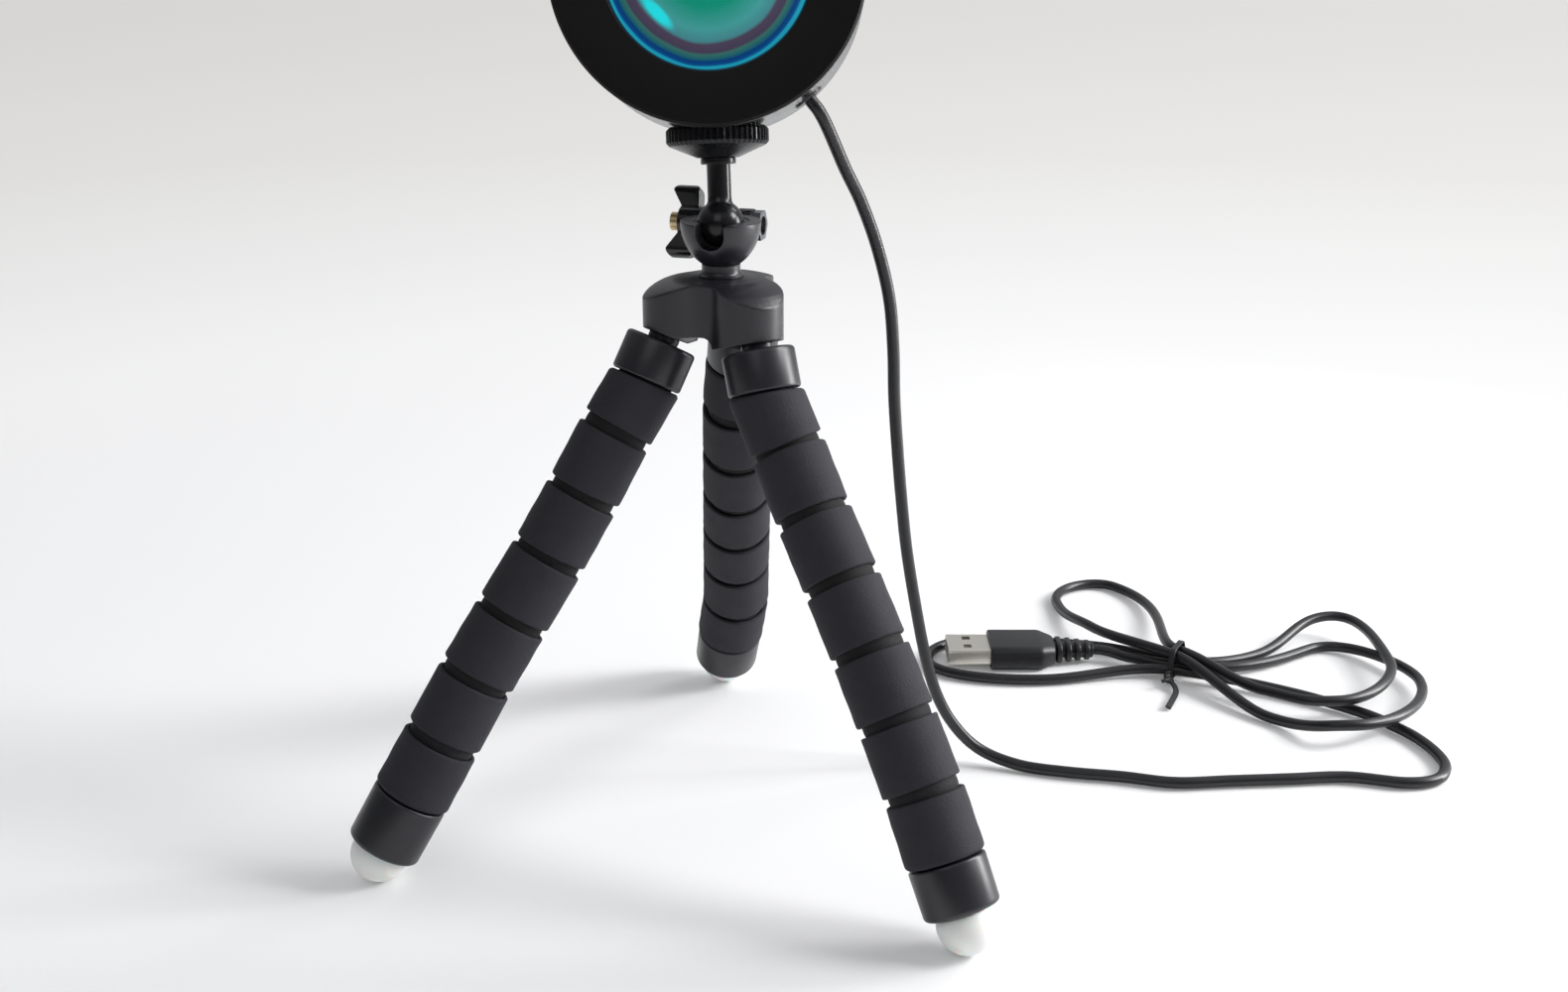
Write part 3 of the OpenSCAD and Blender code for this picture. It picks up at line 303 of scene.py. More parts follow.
def build(name, skins, material, sharp, place=None):
    """Mesh object from skins given in millimetres, smooth but for edges sharper than the angle. The attribute
    local holds each point in the place's own axes, in millimetres, for materials that follow the piece."""
    v, faces, at = [], [], 0
    for verts, quads, tris in skins:
        v.append(verts)
        faces += (quads + at).tolist() + (tris + at).tolist()
        at += len(verts)
    v = np.vstack(v)
    mesh = bpy.data.meshes.new(name)
    mesh.from_pydata((v * MM).tolist(), [], faces)
    merge_points(mesh, 2e-7)
    back = np.linalg.inv(place if place is not None else np.eye(4))
    co = np.zeros(len(mesh.vertices) * 3, np.float32)
    mesh.vertices.foreach_get("co", co)
    local = mesh.attributes.new("local", "FLOAT_VECTOR", "POINT")
    local.data.foreach_set("vector", put(co.reshape(-1, 3) / MM, back).astype(np.float32).ravel())
    smooth(mesh, sharp)
    mesh.materials.append(material)
    return add(name, mesh)


def smooth(mesh, sharp):
    """Smooth faces, with edges sharper than the angle kept crisp."""
    mesh.polygons.foreach_set("use_smooth", np.ones(len(mesh.polygons), bool))
    mesh.set_sharp_from_angle(angle=math.radians(sharp))
    mesh.update()


def merged_copy(cad, name, material, voxel=0.0, rounds=0):
    """A merged copy of a CAD node to finish: with a voxel size it is remeshed and smoothed into one soft
    skin, without one its long thin faces beside big flat ones are made to shade evenly."""
    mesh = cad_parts[cad].data.copy()
    mesh.name = name
    merge_points(mesh, 1e-6)
    mesh.materials.clear()
    mesh.materials.append(material)
    smooth(mesh, 30)
    o = add(name, mesh)
    if voxel:
        remesh = o.modifiers.new("skin", "REMESH")
        remesh.mode = "VOXEL"
        remesh.voxel_size = voxel * MM
        remesh.use_smooth_shade = True
        ease = o.modifiers.new("ease", "SMOOTH")
        ease.factor = 0.5
        ease.iterations = rounds
    else:
        normals = o.modifiers.new("normals", "WEIGHTED_NORMAL")
        normals.keep_sharp = True
        normals.weight = 100
    return o


def join(o, body, slot, *nodes):
    """The piece rides on a CAD body and stands for CAD nodes. The slot is not used."""
    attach(o, body)
    if nodes:
        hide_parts(*nodes)
    return o


# ---------------------------------------------------------------- materials
def put_in(n, **sockets):
    """Sets a node's sockets by name, with underscores for spaces."""
    for key, value in sockets.items():
        n.inputs[key.replace("_", " ")].default_value = value


def node(tree, kind, operation=None, **sockets):
    """A shader node with its operation and its sockets."""
    n = tree.nodes.new("ShaderNode" + kind)
    if operation:
        n.operation = operation
    put_in(n, **sockets)
    return n


def wire(tree, *links):
    """Links between nodes, each given as (node, output, node, input)."""
    for a, output, b, into in links:
        tree.links.new(a.outputs[output], b.inputs[into])


def ramp_of(tree, stops):
    """Colour ramp with stops of (place, scene-linear colour)."""
    n = node(tree, "ValToRGB")
    for _ in stops[2:]:
        n.color_ramp.elements.new(0.5)
    for e, (x, c) in zip(n.color_ramp.elements, stops):
        e.position = x
        e.color = (*c, 1)
    return n


def blank(name):
    """A new material with its node tree and its shader."""
    m = bpy.data.materials.new(name)
    m.use_nodes = True
    return m, m.node_tree, m.node_tree.nodes["Principled BSDF"]


def from_axis(tree, scale):
    """Nodes for the attribute local, flattened on its z axis and scaled, and for that vector's length."""
    at = node(tree, "Attribute")
    at.attribute_name = "local"
    flat = node(tree, "VectorMath", "MULTIPLY")
    flat.inputs[1].default_value = (scale, scale, 0)
    far = node(tree, "VectorMath", "LENGTH")
    wire(tree, (at, "Vector", flat, 0), (flat, 0, far, 0))
    return flat, far


def finish(name, colour, rough, metal=0.0, spec=0.5, bump=0.0, grain=900.0, vary=0.0, coat=0.0, soft=0.0):
    """Material in one colour: fine grain from a noise on Object coordinates lifts the surface, and a
    coarser noise varies the roughness a little, as moulding and handling do."""
    name = "lamp_" + name  # the frame's own materials hold the plain names
    if name in bpy.data.materials:
        return bpy.data.materials[name]
    m, t, s = blank(name)
    put_in(s, Base_Color=(*colour, 1), Roughness=rough, Metallic=metal, Specular_IOR_Level=spec,
           Coat_Weight=coat, Subsurface_Weight=soft, Subsurface_Scale=0.002)
    at = node(t, "TexCoord")
    if bump:
        fine = node(t, "TexNoise", Scale=grain, Detail=3.0)
        lift = node(t, "Bump", Strength=bump, Distance=0.0002)
        wire(t, (at, "Object", fine, "Vector"), (fine, "Fac", lift, "Height"), (lift, "Normal", s, "Normal"))
    if vary:
        coarse = node(t, "TexNoise", Scale=grain / 9, Detail=2.0)
        span = node(t, "MapRange", To_Min=max(0.0, rough - vary), To_Max=rough + vary)
        wire(t, (at, "Object", coarse, "Vector"), (coarse, "Fac", span, "Value"),
             (span, "Result", s, "Roughness"))
    return m


def linear(r, g, b):
    """Scene-linear colour from display values of 0 to 255: ((c / 255 + 0.055) / 1.055) to the power 2.4."""
    return tuple(((c / 255 + 0.055) / 1.055) ** 2.4 if c > 10 else c / 255 / 12.92 for c in (r, g, b))


# Display tints of the lens by the distance from its axis over its seen radius: the coating's colours, with
# painted reflections of the reflector inside
LENS_TINTS_AND_REFLECTIONS = (
    (0.0, (10, 150, 118)), (0.45, (16, 146, 122)), (0.66, (70, 160, 158)), (0.765, (70, 136, 144)),
    (0.79, (78, 68, 90)), (0.865, (70, 64, 86)), (0.885, (56, 112, 104)), (0.93, (24, 96, 112)),
    (0.95, (6, 58, 124)), (0.985, (4, 78, 140)), (1.0, (30, 160, 190)),
)


def coated_glass_with_painted_light(name, radius):
    """Colour-shifting coated lens: a mirror-like glass whose tint runs through rings, the coating's colours
    with painted reflections of the reflector inside, a painted window streak and a painted glow. The tint is
    a ramp over the distance from the lens's axis divided by its seen radius, read from the attribute local."""
    m, t, s = blank(name)
    flat, far = from_axis(t, 1 / radius)
    wave = node(t, "TexNoise", Scale=1.6, Detail=1.0)
    waver = node(t, "Math", "MULTIPLY_ADD")
    waver.inputs[1].default_value = 0.05
    # The rings: the coating's own colours, with painted reflections of the reflector and tube inside
    ramp = ramp_of(t, [(x, linear(*c)) for x, c in LENS_TINTS_AND_REFLECTIONS])
    # Painted reflection of a window: a slanting pale streak mixed into the tint, soft across and along
    tilt = node(t, "Mapping", Location=(-0.5, -0.45, 0), Rotation=(0, 0, math.radians(-47)),
                Scale=(0.26, 0.075, 1))
    tilt.vector_type = "TEXTURE"
    span = node(t, "VectorMath", "LENGTH")
    painted_window_gleam = node(t, "MapRange", From_Min=1.0, From_Max=0.45)
    painted_window_gleam.interpolation_type = "SMOOTHSTEP"
    tint = node(t, "Mix")
    tint.data_type = "RGBA"
    tint.inputs[7].default_value = (*linear(40, 232, 240), 1)
    wire(t, (flat, 0, wave, "Vector"), (wave, "Fac", waver, 0), (far, "Value", waver, 2),
         (waver, 0, ramp, "Fac"), (flat, 0, tilt, "Vector"), (tilt, "Vector", span, 0),
         (span, "Value", painted_window_gleam, "Value"), (painted_window_gleam, "Result", tint, 0), (ramp, "Color", tint, 6),
         (tint, 2, s, "Base Color"), (tint, 2, s, "Emission Color"))
    # Painted light: the emission makes the lens glow with its tint and streak
    put_in(s, Emission_Strength=0.7, Metallic=0.8, Roughness=0.07, Coat_Weight=1.0, Coat_Roughness=0.02)
    return m


def plastic():
    """Black satin plastic of the hub, the ball joint and the legs' collars and caps."""
    return finish("black_plastic", (0.0115, 0.0112, 0.016), 0.35, spec=0.55, bump=0.05, vary=0.06)


def foam_with_painted_groove_shade():
    """Dark foam rubber, with painted shade in the grooves: darker where a point lies nearer than 7.75 mm to
    its leg's axis."""
    colour = (0.021, 0.0205, 0.0265)
    m = finish("foam", colour, 0.8, spec=0.4, bump=0.55, grain=1900, vary=0.05)
    t = m.node_tree
    far = from_axis(t, 1)[1]
    # Painted shade: the grooves' floors fade to near black
    span = node(t, "MapRange", From_Min=7.2, From_Max=7.75)
    ramp = ramp_of(t, [(0.0, (0.005, 0.005, 0.006)), (1.0, colour)])
    wire(t, (far, "Value", span, "Value"), (span, "Result", ramp, "Fac"),
         (ramp, "Color", t.nodes["Principled BSDF"], "Base Color"))
    return m


# ---------------------------------------------------------------- sizes
def size(name, text, value):
    """A length property in metres."""
    return bpy.props.FloatProperty(name=name, description=text, default=value, min=0.0002, max=1.0,
                                   unit="LENGTH", precision=4)


def power(name, text, value):
    """A light's power in watts."""
    return bpy.props.FloatProperty(name=name, description=text, default=value, min=0, unit="POWER")


class LampSizes(bpy.types.PropertyGroup):
    """Sizes of the lamp's visible surfaces."""

    head_diameter: size("Head diameter", "Outside diameter of the lamp head", 0.064)
    head_length: size("Head length", "Head length from its back to its face", 0.034)
    lens_diameter: size("Lens diameter", "Seen diameter of the lens", 0.0414)
    lens_crown: size("Lens crown", "Height of the lens's dome", 0.0016)
    wheel_diameter: size("Wheel diameter", "Lock wheel over its ridges", 0.0215)
    wheel_ridge: size("Ridge depth", "Depth of the wheel's ridges", 0.0005)
    ridges: bpy.props.IntProperty(name="Ridges", description="Ridges round the lock wheel", default=52,
                                  min=12, max=90)
    ball_diameter: size("Ball diameter", "Ball of the ball joint", 0.0099)
    stem_diameter: size("Stem diameter", "Stem between the ball and its collar", 0.005)
    collar_diameter: size("Collar diameter", "Collar at the top of each leg", 0.0155)
    collar_length: size("Collar length", "Length of that collar", 0.0098)
    top_sleeve: size("Top sleeve", "Length of the first foam sleeve", 0.0126)
    sleeve_pitch: size("Sleeve pitch", "Distance between the grooves", 0.0152)
    last_sleeve: size("Last sleeve", "Length of the last foam sleeve", 0.0146)
    sleeve_top: size("Upper sleeve diameter", "Foam diameter at the top of a leg", 0.0157)
    sleeve_foot: size("Lower sleeve diameter", "Foam diameter at the foot of a leg", 0.0169)
    groove_width: size("Groove width", "Width of the grooves between sleeves", 0.0021)
    groove_depth: size("Groove depth", "Depth of the grooves", 0.001)
    cap_diameter: size("Cap diameter", "End cap of each leg", 0.0164)
    cap_lengths: bpy.props.FloatVectorProperty(
        name="Cap lengths", description="Length of each leg's end cap", default=(0.0129, 0.0106, 0.0115),
        size=3, unit="LENGTH", precision=4)
    foot_radius: size("Foot radius", "Radius of the rubber foot's dome", 0.0063)
    lead_diameter: size("Lead diameter", "Diameter of the lead", 0.0028)
    plug_width: size("Plug width", "Width of the plug's overmould", 0.016)
    plug_height: size("Plug height", "Height of the plug's overmould", 0.0068)
    plug_length: size("Plug length", "Length of the overmould's block", 0.014)
    tie_width: size("Tie width", "Width of the tie's band", 0.0016)


class LampStage(bpy.types.PropertyGroup):
    """Light and camera."""

    key_power: power("Key", "Power of the key light", 19.5)
    fill_power: power("Fill", "Power of the front light", 0.9)
    back_power: power("Back", "Power of the light behind at the right", 6.5)
    strip_power: power("Strip", "Power of the narrow light at the right", 3.4)
    sky: bpy.props.FloatProperty(name="Sky", description="Strength of the surrounding light", default=0.49,
                                 min=0)
    camera_distance: size("Camera distance", "Distance of the camera along -y", 0.3918)
    camera_height: size("Camera height", "Height of the camera over the floor", 0.2061)
    focal_length: bpy.props.FloatProperty(
        name="Focal length", description="Focal length of the lens in millimetres", default=43.02,
        min=8, max=300)


# ---------------------------------------------------------------- head
def make_head(s):
    """Face ring, coated lens, gasket, housing and grommet."""
    r, zf = s.head_diameter / MM / 2, s.head_length / MM / 2
    lens = s.lens_diameter / MM / 2
    black = finish("face_black", (0.005, 0.0046, 0.005), 0.42, spec=0.16, bump=0.03, grain=1500, vary=0.04)
    # Ring: flat face with a bevelled outer edge, a step down to the lens and the tube behind it
    lip, seam, rear = zf - 1.2, zf - 2.95, zf - 8
    outline = rounded([(lens + 1.8, rear, 0), (lens + 1.8, lip, 0.1), (lens, lip, 0.12),
                       (lens + 0.5, zf, 0.18), (r - 0.55, zf, 0.12), (r, zf - 0.55, 0.12),
                       (r, zf - 2.85, 0.12), (r - 0.5, seam, 0.1), (r - 1.5, seam, 0.1),
                       (r - 1.5, rear, 0)])
    ring = build("face_ring", [skin(lathe(outline, HEAD, 240), loop=True)], black, 24, HEAD)
    join(ring, "head", "bezel_black", "front_bezel")
    # Lens: a shallow dome, height = crown (1 - (r / R)^2), edge tucked under the ring's lip
    rim, crown = lens + 1.4, s.lens_crown / MM
    rho = np.linspace(0, 1, 40) * rim
    dome = zf - 1.3 - crown * 0.15 + crown * (1 - (rho / rim) ** 2)
    dome = np.minimum(dome, np.where(rho > lens - 0.1, zf - 1.25, 99))
    front = np.stack([rho, dome], -1)
    back = np.array([(rim, zf - 4.1), (lens, zf - 4.2), (0.01, zf - 4.2)])
    glass = build("coated_lens", [skin(lathe(np.vstack([front, back]), HEAD, 200))],
                  coated_glass_with_painted_light("coated_glass_with_painted_light", lens), 40, HEAD)
    join(glass, "head", "glass_lens", "lens")
    low, high = zf - 5.7, zf - 4.5
    outline = rounded([(lens + 1.3, low, 0.2), (lens + 1.3, high, 0.2), (lens - 1, high, 0.2),
                       (lens - 1, low, 0.2), (lens + 0.1, low, 0)])
    rubber = finish("gasket_rubber", (0.02, 0.02, 0.02), 0.7)
    seal = build("lens_seal", [skin(lathe(outline, HEAD, 96), loop=True)], rubber, 40, HEAD)
    join(seal, "head", "gasket_rubber", "lens_gasket")
    gloss = finish("gloss_black", (0.008, 0.008, 0.009), 0.24, spec=0.35, vary=0.03)
    join(merged_copy("head_housing", "housing_skin", gloss), "head", "gloss_black", "head_housing")
    # Grommet: stepped collar round the lead, square to the side
    out = HEAD @ turn("z", EXIT_TURN - 90) @ turn("y", 90) @ move(EXIT_BACK, 0, 0)
    lead = s.lead_diameter / MM / 2
    outline = rounded([(0.01, 26, 0), (2.4, 26, 0.1), (2.4, 30.6, 0.1), (3.3, 31.1, 0.2),
                       (3.3, 32.35, 0.35), (lead + 0.6, EXIT_R, 0.2), (lead + 0.35, 31.6, 0.1),
                       (0.01, 31.6, 0)])
    pvc = finish("cord_pvc", (0.012, 0.012, 0.0145), 0.4)
    grommet = build("lead_grommet", [skin(lathe(outline, out, 48))], pvc, 40, out)
    join(grommet, "head", "cord_pvc", "cord_grommet")


# ---------------------------------------------------------------- wheel, stem, cup
def make_joint(s):
    """Lock wheel, stem with its ball, cup and wing knob."""
    r, deep = s.wheel_diameter / MM / 2, s.wheel_ridge / MM
    chamfer = 0.75
    outline = rounded([(0.01, 20.05, 0), (r - chamfer, 20.05, 0.25), (r, 19.3, 0.3), (r, 16.8, 0.3),
                       (r - 0.7, 16.05, 0.3), (4.4, 13.65, 0.2), (0.01, 13.65, 0)])
    n = s.ridges * 10
    a = np.linspace(0, TAU, n, endpoint=False)
    # Ridges: a flattened cosine lowers the radius between them, only on the band, fading on its two chamfers
    cut = deep * np.clip(0.5 - 0.95 * np.cos(s.ridges * a), 0, 1)
    band = np.clip((outline[:, 0] - (r - chamfer)) / 0.6, 0, 1)
    rings = lathe(outline, np.eye(4), n)
    scale = 1 - band[:, None] * cut / np.maximum(outline[:, :1], 1)
    rings[..., :2] *= scale[..., None]
    black = finish("wheel_black", (0.006, 0.0063, 0.0075), 0.26, spec=0.3, bump=0.03, vary=0.05)
    wheel = build("ridged_wheel", [skin(put(rings, STEM))], black, 32, STEM)
    join(wheel, "wheel", "black_plastic", "lock_wheel")
    # Stem: ball, rod, collar and stud on one axis
    b, q = s.ball_diameter / MM / 2, s.stem_diameter / MM / 2
    t = np.linspace(0, math.pi - math.asin((q + 0.3) / b), 40)
    ball = np.stack([np.maximum(b * np.sin(t), 0.01), -b * np.cos(t)], -1)
    rod = rounded([(q + 0.05, math.sqrt(b * b - q * q) + 0.35, 0), (q, 5.6, 0.3), (q, 12.3, 0.15),
                   (3.7, 12.3, 0.25), (3.7, 13.6, 0.25), (3.15, 13.6, 0), (3.15, 28.3, 0.3),
                   (0.01, 28.3, 0)])
    black = finish("stem_black", (0.0065, 0.0068, 0.008), 0.24, spec=0.35, bump=0.02)
    stem = build("stem_and_ball", [skin(lathe(np.vstack([ball, rod]), STEM, 64))], black, 34, STEM)
    join(stem, "stem", "black_plastic", "ball_stem")
    cup = merged_copy("ball_cup", "cup_skin", plastic(), voxel=0.13, rounds=7)
    join(cup, "stand", "black_plastic", "ball_cup")
    gloss = finish("wing_gloss", (0.009, 0.009, 0.0105), 0.16, coat=0.3, vary=0.03)
    wings = merged_copy("wing_knob", "wing_skin", gloss, voxel=0.13, rounds=14)
    join(wings, "clamp", "gloss_black", "wing_knob")


def make_hub():
    """Three-lobed hub, softened from the CAD solid."""
    join(merged_copy("hub", "hub_skin", plastic(), voxel=0.2, rounds=5), "stand", "black_plastic", "hub")


# ---------------------------------------------------------------- legs
def foam_radius(s, along):
    """Foam radius at a distance down the leg: straight from the top one to the bottom one."""
    whole = (s.collar_length + s.top_sleeve + 5 * s.sleeve_pitch + s.last_sleeve) / MM
    a, b = s.sleeve_top / MM, s.sleeve_foot / MM
    return (a + (b - a) * along / whole) / 2


def make_legs(s):
    """Collars, seven foam sleeves with ball ends, wire, caps and feet of the three legs."""
    foam, black = foam_with_painted_groove_shade(), plastic()
    rubber = finish("foot_rubber", (0.86, 0.88, 0.86), 0.42, soft=0.5, bump=0.05)
    metal = finish("wire_metal", (0.55, 0.56, 0.58), 0.4, metal=1.0)
    collar, cl, ll = s.collar_diameter / MM / 2, s.collar_length / MM, s.last_sleeve / MM
    wide, deep = s.groove_width / MM, s.groove_depth / MM
    cap, foot = s.cap_diameter / MM / 2, s.foot_radius / MM
    # Distances down the leg to each sleeve's top, from number 1, and to the last one's foot
    tops = [0, cl] + [cl + (s.top_sleeve + n * s.sleeve_pitch) / MM for n in range(6)]
    tops.append(tops[7] + ll)
    nose = 3.6  # how far a ball end reaches past its pivot
    pocket = -nose - 1.6
    for k in range(3):
        leg = f"leg_{k + 1}_"
        body = [leg + "top"] + [f"{leg}section_{i}" for i in range(2, 8)]
        steps = [x / MM for x in steps_of(s, k)]
        # Collar with the ball that sits in the hub
        place = collar_place(k)
        t = np.linspace(math.acos(2 / NECK_R), math.acos(-0.8 / NECK_R), 10)
        neck = NECK_R * np.stack([np.sin(t), np.cos(t)], -1)
        shape = rounded([(0.01, 2, 0)] + [(x, y, 0) for x, y in neck]
                        + [(3.28, -0.9, 0.1), (collar, -0.9, 0.9), (collar, -cl, 0.7),
                           (collar - 1.4, -cl, 0.15), (0.01, -cl + 0.1, 0)])
        o = build(leg + "collar_skin", [skin(lathe(shape, place, 72))], black, 36, place)
        join(o, body[0], "black_plastic", leg + "collar")
        for i in range(1, 8):
            place = leg_place(s, k, i - 1)
            a = -cl - 0.3 if i == 1 else -wide / 2
            b = -ll + 0.3 if i == 7 else -steps[i - 1] + wide / 2
            ra, rb = foam_radius(s, tops[i]), foam_radius(s, tops[i + 1])
            if i == 1:
                start = [(0.01, a + 1, 0), (collar - 1.75, a + 1, 0.1), (collar - 1.75, a, 0)]
            else:  # seat for the ball above: the sphere's lower half about the pivot
                ball = ra - deep + 0.3
                t = np.linspace(math.pi - 0.75, math.acos(a / ball), 12)
                start = [(0.01, pocket, 0)]
                start += [(ball * math.sin(x), max(ball * math.cos(x), pocket), 0) for x in t]
            if i == 7:
                end = [(cap - 1.8, b, 0), (cap - 1.8, b - 6, 0.1), (0.01, b - 6, 0)]
            else:  # ball end: the sphere about the next pivot, cut flat at its nose
                ball = rb - deep
                t = np.linspace(math.acos((wide / 2) / ball), math.acos(-nose / ball), 14)
                end = [(ball * math.sin(x), ball * math.cos(x) - steps[i - 1], 0) for x in t]
                end.append((0.01, -steps[i - 1] - nose, 0))
            shape = rounded([*start, (ra, a, 1.1), (rb, b, 1.1), *end], 6)
            # Long runs get rings about 1 mm apart, so that the slight swell of the foam shows
            rings = lathe(densify(shape, 1.0), np.eye(4), 72)
            x, y, z = np.moveaxis(rings.copy(), -1, 0)
            swell = 0.045 * np.sin(z * 0.9 + 2.1 * k + i) * np.sin(2 * np.arctan2(y, x) + i * 1.7)
            far = np.hypot(x, y)
            rings[..., :2] *= (1 + swell / np.maximum(far, 1) * (far > ra - 1.2))[..., None]
            if i == 1:  # its top lies along the collar's lower face: heights stretch to that plane
                face = np.linalg.inv(place) @ collar_place(k)
                n, q = face[:3, 2], put(np.array([0, 0, a]), face)
                top = q[2] - ((rings[..., :2] - q[:2]) @ n[:2]) / n[2]
                rings[..., 2] = b + (z - b) * np.where(z > b, (top - b) / (a - b), 1)
            o = build(f"{leg}sleeve_{i}", [skin(put(rings, place))], foam, 50, place)
            join(o, body[i - 1], "foam", f"{leg}foam_{i}")
        for i in range(7):  # the wire, in short rods that stay inside the sleeves
            low = 0.4 - (steps[i] if i < 6 else ll + 3)
            rod = rounded([(0.01, -0.4, 0), (1.5, -0.4, 0.3), (1.5, low, 0.3), (0.01, low, 0)])
            place = leg_place(s, k, i)
            o = build(f"{leg}rod_{i + 1}", [skin(lathe(rod, place, 20))], metal, 40, place)
            join(o, body[i], "wire_metal", *([leg + "wire"] if i == 0 else []))
        place = leg_place(s, k, 6)
        cut = -ll - s.cap_lengths[k] / MM
        shape = rounded([(0.01, -ll - 6, 0), (cap - 1.5, -ll - 6, 0.1), (cap - 1.5, -ll, 0.1),
                         (cap, -ll, 0.6), (cap - 0.15, cut, 1.1), (4.4, cut, 0.1), (4.4, cut + 2, 0),
                         (0.01, cut + 2, 0)])
        o = build(leg + "cap_skin", [skin(lathe(shape, place, 72))], black, 36, place)
        join(o, body[6], "black_plastic", leg + "cap")
        # Foot: a plug in the cap's end under a dome about a centre that stands out of the cap
        out = FOOT_OUT[k]
        t = np.linspace(math.acos((0.3 - out) / foot), 0.03, 26)
        dome = np.stack([foot * np.sin(t), cut - out - foot * np.cos(t)], -1)
        rim = [(0.01, cut + 1.9), (3.9, cut + 1.9), (3.9, cut - 0.3)]
        shape = np.vstack([rim, dome, [(0.01, cut - out - foot)]])
        o = build(leg + "foot_skin", [skin(lathe(shape, place, 64))], rubber, 40, place)
        join(o, body[6], "foot_rubber", leg + "foot")


def densify(outline, step):
    """The same outline with points added so that none are farther apart than the step."""
    o = np.asarray(outline, float)
    parts = []
    for a, b in zip(o[:-1], o[1:]):
        count = max(1, int(np.ceil(np.linalg.norm(b - a) / step)))
        parts.append(a + (b - a) * np.linspace(0, 1, count, endpoint=False)[:, None])
    return np.vstack(parts + [o[-1:]])


# ---------------------------------------------------------------- lead
# Points of the free run, and knots of the tied hank as through_knots takes them
RUN = (
    (22, 5.2, 158.1), (23.8, 6.5, 154.2), (26.7, 8.6, 147.6), (30.4, 10.8, 140), (34.1, 12.5, 130),
    (37, 13.5, 118.5), (38.2, 14.5, 107), (38.8, 16, 95), (39.8, 17, 83), (41, 18, 71),
    (42.6, 19.5, 58), (44.8, 20.5, 45), (47.8, 21.5, 30), (51, 22.5, 19), (55.5, 23, 10.5),
    (62, 22.5, 4), (71, 18.5, 1.6), (82, 14.5, 1.5), (95, 11.5, 1.5), (107, 8, 1.5), (121, 8.5, 1.5),
    (135, 9, 1.5), (149, 9.5, 1.5), (162, 6, 1.5), (170, 7.5, 1.5), (174.5, 14, 1.5),
    (175, 22, 1.5), (173, 31, 1.5), (169, 39, 1.5),
)
HANK = (
    (169, 39, 1.5, 118, 0, 12), (121.7, 72.3, 2.5, 158, 22, 12), (86, 69.5, 1.5, 182, 12, 12),
    (56, 83, 1.5, 92, 10, 8), (70, 97, 1.5, 0, 8, 14), (104, 92, 1.5, -16, 14, 6),
    (124.5, 79.2, 2.5, -24, 8, 8), (146, 83.3, 1.5, 28, 8, 14), (173, 101, 6, 4, 11, 9),
    (179, 68, 6, -96, 16, 9), (158, 45, 5.2, 184, 10, 10), (141, 54, 4.4, 145, 8, 8),
    (123.8, 77.3, 6.3, 132, 10, 10), (119, 138, 1.5, 128, 24, 9), (99, 126, 1.5, -90, 12, 12),
    (104, 99, 4.6, -65, 8, 8), (121.6, 74.4, 6.3, -48, 12, 10), (140, 43, 1.6, -44, 10, 10),
    (156, 29, 5.8, -2, 9, 12), (185, 62, 3.4, 86, 14, 10), (163, 87.5, 1.5, 213, 15, 12),
    (123, 75.7, 2.5, 158, 18, 8), (112, 80.8, 2.6, 154, 4, 5), (102, 85, 3.45, 178, 5, 0),
)
# Where the lead's stretches meet, along it
STRETCH_ENDS = (31.5, 63, 155)


def lead_path():
    """The lead's whole centreline from its grommet to its plug, 0.8 mm a step. It starts straight out."""
    a = math.radians(EXIT_TURN)
    e = put(np.array([EXIT_R * math.sin(a), EXIT_BACK, HEAD_H - EXIT_R * math.cos(a)]), STUD)
    d = STUD[:3, :3] @ np.array([math.sin(a), 0, -math.cos(a)])
    run = through([e, e + 1.4 * d, e + 2.8 * d, *RUN])
    return even(np.vstack([run[:-1], through_knots(HANK)]), 0.8)


def make_lead(s):
    """The lead as four stretches that meet ring to ring; the last, which lies on the floor, rides on the
    stand."""
    path = lead_path()
    d = arc_lengths(path)
    at = [0] + [int(np.searchsorted(d, x)) for x in STRETCH_ENDS] + [len(path) - 1]
    rings = sweep(path, circle(s.lead_diameter / MM / 2, 22))
    black = finish("lead_pvc", (0.008, 0.008, 0.0105), 0.36, vary=0.03, grain=700)
    made = []
    for k, name in enumerate(("lead_at_head", "lead_at_stem", "lead_beside_stand", "lead_and_hank")):
        a, b = at[k], at[k + 1] + 1
        made.append((build(name, [skin(rings[a:b])], black, 60), path[a:b], d[b - 1] - d[a]))
    pairs = (("head", "stem"), ("stem", "ball_liner"), ("ball_liner", "stand"))
    for (o, line, _), pair in zip(made, pairs):
        inset = line[-1] - line[0]
        inset *= 1.5 / np.linalg.norm(inset)
        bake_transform(o)
    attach(made[3][0], "stand")
    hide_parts("cord_run")
    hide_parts("cord_hank")
    return made


